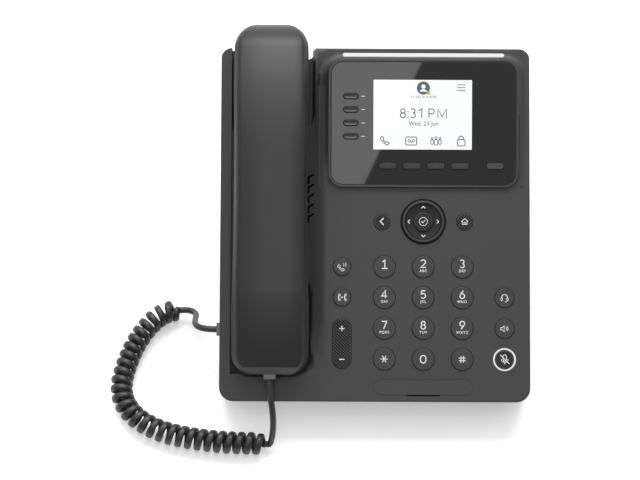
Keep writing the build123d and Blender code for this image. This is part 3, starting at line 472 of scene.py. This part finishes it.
socket_black = moulded("socket_black", (0.012, 0.012, 0.012), (0.02, 0.02, 0.02), 0.4)
for name in ("rear_ports", "side_ports", "hook_switch", "handset_socket"):
    clothe(nodes[name], socket_black)

silicone = Finish("silicone", Roughness=0.6)
silicone.coloured(silicone.noise(0.004), (0.012, 0.012, 0.013), (0.018, 0.018, 0.019))
clothe(nodes["key_mats"], silicone)

trim = moulded("trim_grey", (0.036, 0.036, 0.037), (0.044, 0.044, 0.045), 0.5)
for name in ("hook_plunger", "handset_receiver", "handset_microphone", "nav_carrier"):
    clothe(nodes[name], trim)

# ---------------------------------------------------------------- Badge
# A thin plate glued in a recess below the keys. It is left bare.
badge = moulded("badge_grey", (0.033, 0.033, 0.034), (0.038, 0.038, 0.039), 0.5)
finished("badge_plate", badge)

# ---------------------------------------------------------------- Display
# A glossy black-printed acrylic lens in a thin frame, with a colour screen behind its clear window
# and nine small keys through it.
display_tilt = radians(4.0)
display_foot = np.array([28.3, 125.9, 2.0])


def on_display(points):
    """Millimetres on the lens (right, up, out, from its lower middle) as metres on the desk."""
    right, up, out = np.asarray(points, float).T
    v = up * cos(display_tilt) - out * sin(display_tilt)
    w = up * sin(display_tilt) + out * cos(display_tilt)
    return on_face(np.column_stack([right, v, w]) + display_foot)


frame_grey = moulded("display_frame", (0.034, 0.034, 0.035), (0.042, 0.042, 0.043), 0.38)
finished("display_bezel", frame_grey)

gloss = Finish("lens_gloss", Roughness=0.02, Specular_IOR_Level=0.5)
gloss.coloured(gloss.noise(0.04), (0.006, 0.006, 0.0065), (0.0075, 0.0075, 0.008))
finished("display_lens", gloss)
clothe(nodes["lcd_module"], socket_black)


def capsule_outline(width, height, count=24):
    """Points round a strip with round ends, centred on zero, anticlockwise."""
    radius = min(width, height) / 2
    turn = np.linspace(-pi / 2, pi / 2, count)
    if width >= height:
        end = np.column_stack([np.cos(turn), np.sin(turn)]) * radius + [width / 2 - radius, 0]
    else:
        end = np.column_stack([-np.sin(turn), np.cos(turn)]) * radius + [0, height / 2 - radius]
    return np.vstack([end, -end])


def box_outline(width, height, radius, count=8):
    """Points round a rectangle with rounded corners, anticlockwise from the lower right."""
    turn = np.linspace(0, pi / 2, count)
    quarter = np.column_stack([np.cos(turn), np.sin(turn)]) * radius
    shift = np.array([width / 2 - radius, height / 2 - radius])
    parts = []
    for step in range(4):
        angle = (step - 1) * pi / 2
        spin = np.array([[cos(angle), sin(angle)], [-sin(angle), cos(angle)]])
        signs = [(1, -1), (1, 1), (-1, 1), (-1, -1)][step]
        parts.append(quarter @ spin + shift * signs)
    return np.vstack(parts)


class Print:
    """Flat shapes gathered into one thin closed mesh: each is an outline or a line with a width."""

    def __init__(self, low, high):
        self.low = low
        self.high = high
        self.points = []
        self.faces = []

    def next_point(self):
        """The number that the next point will have."""
        return sum(len(points) for points in self.points)

    def prism(self, outline):
        """A solid outline, anticlockwise, between the two heights."""
        outline = np.asarray(outline, float)
        count = len(outline)
        start = self.next_point()
        floor_points = np.column_stack([outline, np.full(count, self.low)])
        roof_points = np.column_stack([outline, np.full(count, self.high)])
        self.points.append(np.vstack([floor_points, roof_points]))
        here = start + np.arange(count)
        after = start + (np.arange(count) + 1) % count
        self.faces += np.column_stack([here, after, after + count, here + count]).tolist()
        self.faces.append((here + count).tolist())
        self.faces.append(here[::-1].tolist())

    def line(self, points, width, closed=False):
        """A band of even width along a line, mitred at its corners."""
        points = np.asarray(points, float)
        if closed:
            before = unit(points - np.roll(points, 1, axis=0))
            after = unit(np.roll(points, -1, axis=0) - points)
        else:
            step = unit(np.diff(points, axis=0))
            before = np.vstack([step[:1], step])
            after = np.vstack([step, step[-1:]])
        normal = unit((before + after)[:, ::-1] * [-1, 1])
        share = np.clip(np.sum(normal * (after[:, ::-1] * [-1, 1]), axis=1), 0.5, 1.0)
        shift = normal * (width / 2 / share)[:, None]
        left, right = points + shift, points - shift
        count = len(points)
        start = self.next_point()
        levels = [np.full(count, level) for level in (self.low, self.high)]
        stack = [np.column_stack([side, level]) for level in levels for side in (right, left)]
        self.points.append(np.vstack(stack))
        here = np.arange(count if closed else count - 1)
        after_it = (here + 1) % count
        r0, l0, r1, l1 = (start + k * count for k in range(4))
        for a, b in ((r1, l1), (l0, r0), (r0, r1), (l1, l0)):
            self.faces += np.column_stack([a + here, a + after_it, b + after_it, b + here]).tolist()
        if not closed:
            for end, order in ((0, (r0, r1, l1, l0)), (count - 1, (r0, l0, l1, r1))):
                self.faces.append([corner + end for corner in order])

    def write(self, text, height, x, y, weight=0.0, spread=1.0):
        """Lettering whose capitals are that high, centred on a point."""
        capital_share = 0.729
        same_point = 1e-5
        font = bpy.data.curves.new("lettering", "FONT")
        font.body = text
        font.size = height / capital_share
        font.align_x = "CENTER"
        font.extrude = (self.high - self.low) / 2
        font.offset = weight
        font.space_character = spread
        font.resolution_u = 4
        holder = bpy.data.objects.new("lettering", font)
        bpy.context.scene.collection.objects.link(holder)
        bpy.context.view_layer.update()
        mesh = bpy.data.meshes.new_from_object(holder)
        bm = bmesh.new()
        bm.from_mesh(mesh)
        bmesh.ops.remove_doubles(bm, verts=bm.verts, dist=same_point)
        bm.to_mesh(mesh)
        bm.free()
        points = np.empty(3 * len(mesh.vertices))
        mesh.vertices.foreach_get("co", points)
        points = points.reshape(-1, 3) + [x, y - height / 2, (self.low + self.high) / 2]
        start = self.next_point()
        self.faces += [[start + corner for corner in polygon.vertices] for polygon in mesh.polygons]
        self.points.append(points)
        bpy.data.objects.remove(holder)
        bpy.data.meshes.remove(mesh)

    def made(self, name, place, finish, body, slot):
        """The piece, put on the phone by place, a rule from millimetres to metres."""
        points = place(np.vstack(self.points))
        return surface(name, points, self.faces, finish, body, smooth=False)


def arc(x, y, radius, start, end, count=16):
    """Points along part of a circle, angles in degrees."""
    turn = np.radians(np.linspace(start, end, count))
    return np.column_stack([x + radius * np.cos(turn), y + radius * np.sin(turn)])


def joined(*lines):
    """Several lists of points as one line."""
    return np.vstack(lines)


def receiver(x, y, size, facing_angle):
    """The outline of a telephone receiver that long; its hollow side faces an angle in degrees."""
    back = [(-2.4, -0.35), (-1.9, -0.8), (1.9, -0.8), (2.4, -0.35)]
    hollow = [(2.4, 0.75), (1.3, 0.75), (0.85, -0.1), (-0.85, -0.1), (-1.3, 0.75), (-2.4, 0.75)]
    drawn_size = 4.8
    turn = radians(facing_angle - 90)
    spin = np.array([[cos(turn), sin(turn)], [-sin(turn), cos(turn)]])
    return np.array(back + hollow) @ spin * size / drawn_size + [x, y]


# Numerals as strokes in a box one high, with zero at the middle of their foot.
strokes = {
    "0": [joined(arc(0, 0.64, 0.34, 0, 180, 14), arc(0, 0.36, 0.34, 180, 360, 14), [(0.34, 0.64)])],
    "1": [[(-0.26, 0.74), (0.06, 1.0), (0.06, 0.0)]],
    "2": [joined(arc(0, 0.7, 0.28, 160, -28, 14), [(-0.3, 0.03), (0.33, 0.03)])],
    "3": [arc(-0.02, 0.745, 0.24, 145, -80, 14), arc(-0.02, 0.27, 0.27, 90, -145, 14)],
    "4": [[(0.14, 0.0), (0.14, 0.98), (-0.33, 0.27), (0.36, 0.27)]],
    "5": [
        joined([(0.27, 0.97), (-0.2, 0.97), (-0.24, 0.53)], arc(-0.01, 0.31, 0.3, 115, -145, 14)),
    ],
    "6": [arc(0, 0.3, 0.3, 90, 450, 24), [(0.14, 0.99), (-0.13, 0.66), (-0.27, 0.4)]],
    "7": [[(-0.31, 0.96), (0.31, 0.96), (-0.07, 0.0)]],
    "8": [arc(0, 0.745, 0.235, 0, 360, 20), arc(0, 0.27, 0.27, 0, 360, 22)],
    "9": [arc(0, 0.7, 0.3, 90, 450, 24), [(-0.14, 0.01), (0.13, 0.34), (0.27, 0.6)]],
    ":": [arc(0, 0.66, 0.02, 0, 360, 8), arc(0, 0.06, 0.02, 0, 360, 8)],
    "P": [
        joined([(-0.28, 0.0), (-0.28, 0.97)], arc(0.04, 0.71, 0.26, 90, -90, 12), [(-0.28, 0.45)]),
    ],
    "M": [[(-0.46, 0.0), (-0.46, 0.98), (0.0, 0.12), (0.46, 0.98), (0.46, 0.0)]],
}


def numeral(drawing, name, height, width, x, y):
    """One numeral of that height and line width, its middle at a point."""
    for stroke in strokes[name]:
        drawing.line(np.asarray(stroke) * height + [x, y - height / 2], width)


screen_white = Finish("screen_white", Roughness=0.25, Coat_Weight=1.0, Coat_Roughness=0.02)
glow = screen_white.two_tone(screen_white.noise(0.03), (0.96, 0.98, 1.0), (1.0, 1.0, 1.0))
screen_white.feed("Base Color", (0.2, 0.2, 0.2))
screen_white.feed("Emission Color", glow)
screen_white.feed("Emission Strength", 0.75)
screen_middle = 42.4
screen = Print(0.01, 0.03)
screen.prism(box_outline(57.8, 40.9, 0.4) + [-0.64, screen_middle])
screen.made("screen_picture", on_display, screen_white, "base", "screen")

screen_ink = Finish("screen_ink", Roughness=0.4)
screen_ink.coloured(screen_ink.noise(0.01), (0.025, 0.025, 0.028), (0.035, 0.035, 0.038))


def on_screen(right, up):
    """Millimetres on the lens of a point that is counted in grid steps from the screen's middle."""
    grid_step = 0.587
    return grid_step * right, screen_middle + grid_step * up


icon_row = -26.3
lettering_level = (0.035, 0.045)
shown = Print(*lettering_level)
for letter, right in zip("8:31PM", (-20.9, -15.7, -10.8, -2.6, 7.7, 18.3)):
    numeral(shown, letter, 5.4, 0.55, *on_screen(right, 1.5))
shown.write("Wed, 23 Jun", 2.55, *on_screen(-0.2, -8.6), weight=0.01, spread=1.0)
shown.write("+1 555 010 0100", 1.55, *on_screen(-0.5, 17.9), spread=1.05)
for row in (30.1, 27.2, 24.3):
    x, y = on_screen(37.3, row)
    shown.line([(x - 2.5, y), (x + 2.5, y)], 0.42)
shown.line(receiver(*on_screen(-39.1, icon_row), 5.9, 45), 0.52, closed=True)
x, y = on_screen(-12.5, icon_row)
shown.line(box_outline(6.4, 4.7, 0.7) + [x, y], 0.5, closed=True)
for side in (-1, 1):
    shown.line(arc(x + 1.2 * side, y + 0.1, 0.7, 0, 345), 0.4, closed=True)
shown.line([(x - 1.2, y - 0.6), (x + 1.2, y - 0.6)], 0.4)
x, y = on_screen(12.3, icon_row)
for shift, size in ((-2.3, 0.75), (0.0, 0.9), (2.3, 0.75)):
    top = y + (1.6 if shift else 1.9)
    shown.line(arc(x + shift, top, size * 0.75, 0, 340), 0.4, closed=True)
    body = box_outline(2.0 * size, 3.6 * size, 0.9 * size) + [x + shift, top - 2.9 * size]
    shown.line(body, 0.42, closed=True)
x, y = on_screen(37.5, icon_row)
shown.line(box_outline(4.5, 3.7, 0.8) + [x, y - 0.9], 0.5, closed=True)
shown.line(joined([(x + 1.3, y + 1.0)], arc(x, y + 1.7, 1.3, 0, 180), [(x - 1.3, y + 1.0)]), 0.5)
shown.made("screen_lettering", on_display, screen_ink, "base", "screen")

portrait_blue = Finish("portrait_blue", Roughness=0.4)
portrait_blue.coloured(portrait_blue.noise(0.002), (0.05, 0.09, 0.12), (0.08, 0.13, 0.17))
disc = Print(*lettering_level)
x, y = on_screen(-0.5, 26.7)
disc.prism(arc(x, y, 3.9, 0, 350, 36))
disc.made("screen_person_disc", on_display, portrait_blue, "base", "screen")
person = Print(0.05, 0.055)
person.prism(arc(x, y + 0.9, 1.25, 0, 345, 24))
person.prism(arc(x, y - 2.9, 2.3, 20, 160, 16))
person.made("screen_person", on_display, screen_white, "base", "screen")
present = Finish("present_green", Roughness=0.4)
present.coloured(present.noise(0.001), (0.2, 0.5, 0.04), (0.26, 0.58, 0.06))
dot = Print(0.05, 0.06)
dot.prism(arc(*on_screen(4.6, 22.1), 1.15, 0, 345, 20))
dot.made("screen_present_dot", on_display, present, "base", "screen")

legend_white = Finish("legend_white", Roughness=0.5)
legend_white.coloured(legend_white.noise(0.001), (0.72, 0.72, 0.72), (0.8, 0.8, 0.8))
lowest_line_row, line_pitch = 29.6, 7.85
line_rows = [lowest_line_row + line_pitch * step for step in range(4)]
ticks = Print(0.005, 0.02)
for row in line_rows:
    ticks.line([(-36.7, row), (-34.5, row)], 0.38)
ticks.made("line_key_marks", on_display, legend_white, "base", "light_pipe")

# ---------------------------------------------------------------- Light bar and light ring
# Frosted white polycarbonate light pipes with white diodes behind them.
lit_white = Finish("lit_white", Roughness=0.45)
lit_glow = lit_white.two_tone(lit_white.noise(0.01), (0.96, 0.96, 0.96), (1.0, 1.0, 1.0))
lit_white.feed("Base Color", (0.4, 0.4, 0.4))
lit_white.feed("Emission Color", lit_glow)
lit_white.feed("Emission Strength", 0.42)
for name in ("status_light_bar", "mute_light_ring"):
    clothe(nodes[name], lit_white)

# ---------------------------------------------------------------- Keys
# Moulded caps on a silicone mat. Number keys are plain discs level with the face, and the keys
# found by touch carry a fine diamond knurl. Their legends are printed in white.
cap_grey = moulded("cap_grey", (0.026, 0.026, 0.027), (0.031, 0.031, 0.032), 0.48)
cap_dark = moulded("cap_dark", (0.026, 0.026, 0.027), (0.034, 0.034, 0.035), 0.5)
far_left, far_right = -19.3, 75.9
middle_column = 28.3
column_pitch = 22.8
columns = (middle_column - column_pitch, middle_column, middle_column + column_pitch)
row_1, row_2, row_3, row_4 = 79.0, 61.0, 43.0, 25.0
ring_row = 105.6
digit_rows = (
    ("1", "2", "3", row_1),
    ("4", "5", "6", row_2),
    ("7", "8", "9", row_3),
    ("star", "0", "hash", row_4),
)
letter_groups = ("ABC", "DEF", "GHI", "JKL", "MNO", "PQRS", "TUV", "WXYZ")
letters = dict(zip("23456789", letter_groups))
key_top = 0.6
on_cap = (key_top + 0.005, key_top + 0.02)
on_knurl = (key_top + 0.1, key_top + 0.23)

for *names, up in digit_rows:
    for name, right in zip(names, columns):
        node = "key_" + name
        finished(node, cap_grey)
        legend = Print(*on_cap)
        if name == "star":
            for angle in (0, 60, 120):
                reach = np.array([cos(radians(angle)), sin(radians(angle))]) * 2.1
                legend.line([[right, up] - reach, [right, up] + reach], 0.5)
        elif name == "hash":
            for shift in (-0.75, 0.75):
                post = right + shift
                legend.line([(post - 0.1, up - 1.95), (post + 0.1, up + 1.95)], 0.5)
                legend.line([(right - 2.0, up + shift), (right + 2.0, up + shift)], 0.5)
        else:
            numeral(legend, name, 4.6, 0.6, right, up + {"0": 0.0, "1": 1.6}.get(name, 1.9))
        if name == "1":
            legend.line([(right - 1.5, up - 1.0), (right + 1.9, up - 1.0)], 0.6)
        if name in letters:
            legend.write(letters[name], 1.55, right, up - 2.25, weight=0.03, spread=1.2)
        legend.made("legend_" + node, on_face, legend_white, node, "light_pipe")


def knurled(
    name, half_length, half_height, place, body, finish, top, sharp=(1.5, 1.5), depth=0.2, scoop=0.0
):
    """A thin cap insert whose top is a field of small pyramids or a shallow scoop.

    Its outline is a strip with round ends. For s and t from -1 to 1, a point is s of the way across
    the strip at that height and t of the way up it. Its level is the top, plus the depth times the
    product of two folded waves that run along the diagonals, fading out at the edge, plus the scoop
    times t squared. The height attribute is near 1 on the pyramids' tops and falls off with the two
    sharp powers of the waves; uneven powers join the pyramids into slanting ridges. A knurl finish
    reads it to paint shade in the valleys and a highlight on the tops.
    """
    pitch = 1.83
    fine = 0.16
    edge_fade = 0.06
    above_cap, below_cap = 0.03, 0.15
    rows = int(2 * half_height / fine) + 1
    count = int(2 * half_length / fine) + 1
    t, s = np.meshgrid(np.linspace(-1, 1, rows), np.linspace(-1, 1, count), indexing="ij")
    radius = min(half_length, half_height)
    if half_length >= half_height:
        y = t * half_height
        x = s * (half_length - radius + np.sqrt(np.maximum(radius**2 - y**2, 1e-4)))
    else:
        x = s * half_length
        y = t * (half_height - radius + np.sqrt(np.maximum(radius**2 - x**2, 1e-4)))
    fold_1 = np.abs(((x + y) / pitch) % 1.0 - 0.5) * 2
    fold_2 = np.abs(((x - y) / pitch) % 1.0 - 0.5) * 2
    edge = np.minimum(1 - np.abs(s), 1 - np.abs(t))
    level = top + above_cap + depth * fold_1 * fold_2 * eased(edge / edge_fade) + scoop * t**2
    roof = np.column_stack([x.ravel(), y.ravel(), level.ravel()])
    base = np.column_stack([x.ravel(), y.ravel(), np.full(x.size, top - below_cap)])
    faces = grid_faces(rows, count)
    rim = np.concatenate(
        [
            np.arange(count),
            count - 1 + count * np.arange(1, rows),
            rows * count - 1 - np.arange(1, count),
            count * np.arange(rows - 2, 0, -1),
        ]
    )
    after = np.roll(rim, -1)
    walls = np.column_stack([rim + len(roof), after + len(roof), after, rim])
    everything = faces.tolist() + (faces[:, ::-1] + len(roof)).tolist() + walls.tolist()
    points = place(np.vstack([roof, base]))
    piece = surface(name, points, everything, finish, body, smooth=False)
    height = piece.data.attributes.new("height", "FLOAT", "POINT")
    ridge = fold_1 ** sharp[0] * fold_2 ** sharp[1]
    height.data.foreach_set("value", np.concatenate([ridge.ravel(), np.zeros(len(base))]))
    return piece


def knurl_painted_light(name, dark, light):
    """Plastic painted dark as shade in the valleys of a knurl and painted lighter as a highlight on
    its tops, which are also smoother.
    """
    knurl = Finish(name, Specular_IOR_Level=0.05)
    painted_light_part = knurl.node("Attribute", {"attribute_name": "height"}, output=2)
    knurl.coloured(painted_light_part, (dark,) * 3, (light,) * 3)
    knurl.feed("Roughness", 0.7 - 0.3 * painted_light_part)
    return knurl


# Knurl colour: painted shade in the valleys, painted highlight on the tops.
knurl_grey = knurl_painted_light("knurl_grey", 0.016, 0.14)


def moved(place, right, up):
    """The same rule for places, counted from another point of the face or lens."""
    return lambda points: place(np.asarray(points, float) + [right, up, 0.0])


round_keys = {
    "hold_key": (far_left, row_1, cap_grey),
    "transfer_key": (far_left, row_2, cap_grey),
    "headset_key": (far_right, row_2, cap_grey),
    "speaker_key": (far_right, row_3, cap_grey),
    "back_key": (4.0, ring_row, cap_dark),
    "home_key": (52.6, ring_row, cap_dark),
    "mute_key": (far_right, row_4, cap_dark),
}
knurl_radius = {"back_key": 4.2, "home_key": 4.2, "mute_key": 4.85}
signs = {}
for name, (right, up, finish) in round_keys.items():
    finished(name, finish)
    signs[name] = Print(*(on_knurl if name in knurl_radius else on_cap))

sign = signs["hold_key"]
sign.line(receiver(-0.75, -0.8, 4.5, 45), 0.32, closed=True)
for shift in (1.0, 2.2):
    sign.line([(shift, 0.1), (shift, 2.2)], 0.32)
sign = signs["transfer_key"]
sign.prism(arc(0, 0, 0.48, 0, 345, 16))
for handle in (-2.0, 1.5):
    sign.line([(handle + 0.15, -1.1), (handle, 0.0), (handle + 0.15, 1.1)], 0.62)
    for end in (-1.4, 1.4):
        sign.line(arc(handle + 0.6, end, 0.5, 0, 330, 12), 0.36, closed=True)
sign = signs["headset_key"]
sign.line(arc(0, 0.2, 1.75, -15, 195, 22), 0.4)
for side in (-1, 1):
    sign.line(capsule_outline(0.95, 1.7, 8) + [side * 1.7, -0.75], 0.32, closed=True)
sign.line([(1.75, -1.5), (1.2, -2.2), (0.2, -2.3)], 0.36)
sign = signs["speaker_key"]
cone = [(-2.2, -0.65), (-1.35, -0.65), (-0.25, -1.7), (-0.25, 1.7), (-1.35, 0.65), (-2.2, 0.65)]
sign.line(cone, 0.36, closed=True)
for radius in (1.0, 1.9):
    sign.line(arc(0.1, 0, radius, -48, 48, 12), 0.36)
sign = signs["back_key"]
sign.line([(0.95, 2.0), (-0.95, 0.0), (0.95, -2.0)], 0.62)
sign = signs["home_key"]
sign.line([(-2.0, 0.1), (0, 1.9), (2.0, 0.1)], 0.4)
sign.line([(-1.4, 0.3), (-1.4, -1.5), (1.4, -1.5), (1.4, 0.3)], 0.4)
sign.line([(-0.45, -1.4), (-0.45, -0.3), (0.45, -0.3), (0.45, -1.4)], 0.3)
sign = signs["mute_key"]
sign.line(capsule_outline(2.0, 3.7, 10) + [0, 0.9], 0.42, closed=True)
sign.line(arc(0, 0.3, 2.0, 180, 360, 16), 0.4)
sign.line([(0, -1.7), (0, -2.8)], 0.4)
sign.line([(-2.6, 2.7), (2.7, -2.6)], 0.5)
for name, (right, up, finish) in round_keys.items():
    signs[name].made("sign_" + name, moved(on_face, right, up), legend_white, name, "light_pipe")
for name, radius in knurl_radius.items():
    right, up, finish = round_keys[name]
    knurled("knurl_" + name, radius, radius, moved(on_face, right, up), name, knurl_grey, key_top)

# The volume key is one long rocker, knurled all over.
finished("volume_rocker", cap_dark)
on_rocker = moved(on_face, far_left, (row_3 + row_4) / 2)
ridges = (3.0, 0.5)
knurled("knurl_volume", 5.0, 14.1, on_rocker, "volume_rocker", knurl_grey, key_top, sharp=ridges)
volume = Print(*on_knurl)
volume.line([(-1.5, 8.7), (1.5, 8.7)], 0.55)
volume.line([(0, 7.2), (0, 10.2)], 0.55)
volume.line([(-1.5, -9.3), (1.5, -9.3)], 0.6)
volume.made("volume_signs", on_rocker, legend_white, "volume_rocker", "light_pipe")


# The navigation ring has a flank, a grey raised rim, a groove and a bowl that falls to the select
# key. The flank and the groove are painted black as shade in the gap and the groove, and the bowl
# is painted darker as shade.
def turned(name, profile, place, finish, body, count=120):
    """A closed ring: each radius, level and painted shade of the profile goes once round the axis.
    """
    radius, level, shade = np.asarray(profile, float).T
    turn = np.linspace(0, 2 * pi, count, endpoint=False)
    across = [np.outer(radius, wave(turn)).ravel() for wave in (np.cos, np.sin)]
    points = np.column_stack([*across, np.repeat(level, count)])
    faces = grid_faces(len(profile) + 1, count, wrap_columns=True) % len(points)
    piece = surface(name, place(points), faces, finish, body)
    piece.data.set_sharp_from_angle(angle=radians(50))
    tone = piece.data.attributes.new("shade", "FLOAT", "POINT")
    tone.data.foreach_set("value", np.repeat(shade, count))
    return piece


# Painted shade: the ring is near black where the profile's shade is 0 and grey where it is 1.
ring_grey = Finish("ring_grey", Specular_IOR_Level=0.25)
painted_shade_part = ring_grey.node("Attribute", {"attribute_name": "shade"}, output=2)
ring_grey.coloured(painted_shade_part, (0.001, 0.001, 0.001), (0.039, 0.039, 0.04))
ring_grey.feed("Roughness", 0.8 - 0.4 * painted_shade_part)
on_ring = moved(on_face, middle_column, ring_row)
foot, bore, bowl_painted_shade = -0.8, 5.8, 0.4
flank = [(12.9, foot, 0), (12.9, 0.4, 0), (12.6, 0.8, 0), (12.3, 1.02, 0)]
rim = [(12.25, 1.05, 1), (12.0, 1.2, 1), (11.2, 1.2, 1), (10.85, 1.1, 0.9)]
groove = [(10.8, 1.07, 0), (10.4, 0.9, 0), (10.1, 0.8, 0), (10.05, 0.79, bowl_painted_shade)]
bowl = [(r, 0.05 + 0.7 * ((r - bore) / 4.2) ** 1.4, bowl_painted_shade) for r in np.linspace(9.9, 6.0, 9)]
profile = flank + rim + groove + bowl + [(bore, 0.1, 0), (bore, foot, 0)]
nav_look = turned("nav_ring_turned", profile, on_ring, ring_grey, "nav_ring")
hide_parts("nav_ring")
finished("select_key", cap_dark)
select_top = 1.0
knurled("knurl_select_key", 4.95, 4.95, on_ring, "select_key", knurl_grey, select_top)
arrows = Print(0.3, 0.8)
for quarter in range(4):
    turn = quarter * pi / 2
    spin = np.array([[cos(turn), sin(turn)], [-sin(turn), cos(turn)]])
    arrows.line(np.array([(7.9, 1.15), (9.0, 0.0), (7.9, -1.15)]) @ spin, 0.45)
arrows.made("nav_arrows", on_ring, legend_white, "nav_ring", "light_pipe")
tick = Print(select_top + 0.1, select_top + 0.23)
tick.line(arc(0, 0, 2.4, 0, 350, 36), 0.3, closed=True)
tick.line([(-1.05, 0.05), (-0.3, -0.75), (1.1, 0.95)], 0.42)
tick.made("select_tick", on_ring, legend_white, "select_key", "light_pipe")

# The small keys in the lens are capsules; the row under the screen is knurled.
lens_key = moulded("lens_key_grey", (0.036, 0.036, 0.037), (0.042, 0.042, 0.043), 0.48)
lens_key_top = 0.5
line_column = -42.8
for step, row in enumerate(line_rows):
    name = f"line_key_{4 - step}"
    finished(name, silicone)
    spot = moved(on_display, line_column, row)
    knurled("scoop_" + name, 3.8, 1.2, spot, name, lens_key, lens_key_top, depth=0.0, scoop=0.4)
# The soft keys' knurl has darker painted shade in its valleys and a brighter painted highlight on
# its tops.
soft_knurl = knurl_painted_light("soft_knurl", 0.004, 0.37)
soft_pitch, soft_shift, soft_row = 14.08, 0.2, 12.3
for step in range(4):
    name = f"soft_key_{step + 1}"
    finished(name, cap_dark)
    spot = moved(on_display, (step - 1.5) * soft_pitch + soft_shift, soft_row)
    knurled("knurl_" + name, 4.95, 1.6, spot, name, soft_knurl, lens_key_top)
finished("app_key", lens_key)

# ---------------------------------------------------------------- Handset
# Two moulded shells, clipped together along a seam that runs round the side, with a capsule at
# each end. It lies in its cradle on the left of the base.
handset = moulded("handset_grey", (0.0135, 0.0135, 0.014), (0.0165, 0.0165, 0.017), 0.46)
finished("handset_front", handset, crease=30.0)


def crowned(finish, middle, half_width, bend):
    """Adds a soft crown, in metres, to the way a finish takes the light.

    It falls with the square of the way left of the middle, right of the shoulder, and up the face
    from the bend. Its flanks are duller.
    """
    fall_left, fall_right, fall_up = 0.2, 0.45, 1.3
    shoulder, flank_start = 0.45 * half_width, 0.92 * half_width
    flank_blend = 1 / 800
    flank_dullness = 0.45

    def part(*axis):
        settings = {"operation": "DOT_PRODUCT"}
        return finish.node("VectorMath", settings, output=1, _0=finish.place(), _1=axis)

    def above(value):
        return value.maths("MAXIMUM", value, 0.0)

    across = part(1.0, 0.0, 0.0)
    left = above(middle - across)
    right = above(across - (middle + shoulder))
    up = part(0.0, cos(face_tilt), sin(face_tilt))
    start = face_start @ [0.0, cos(face_tilt), sin(face_tilt)]
    top = above(up - (bend + start))
    sides_fall = (left * left * fall_left + right * right * fall_right) * (1 / half_width)
    fall = sides_fall + top * top * fall_up
    off_middle = across - middle
    off_middle = off_middle.maths("ABSOLUTE", off_middle, 0.0)
    flank = above(off_middle - flank_start) * (1 / flank_blend)
    flank = flank.maths("MINIMUM", flank, 1.0)
    sheen = Value(finish.tree, finish.shader.inputs["Roughness"].links[0].from_socket)
    finish.feed("Roughness", sheen + flank * flank_dullness)
    grain_bump = finish.shader.inputs["Normal"].links[0].from_node
    crown = finish.node("Bump", Height=0.0 - fall, Distance=1.0, Strength=1.0)
    finish.tree.links.new(crown.socket, grain_bump.inputs["Normal"])


handset_shell = moulded("handset_shell_grey", (0.0145, 0.0145, 0.015), (0.018, 0.018, 0.0185), 0.46)
crowned(handset_shell, middle=-0.0611, half_width=0.022, bend=0.150)
finished("handset_back", handset_shell, crease=30.0)
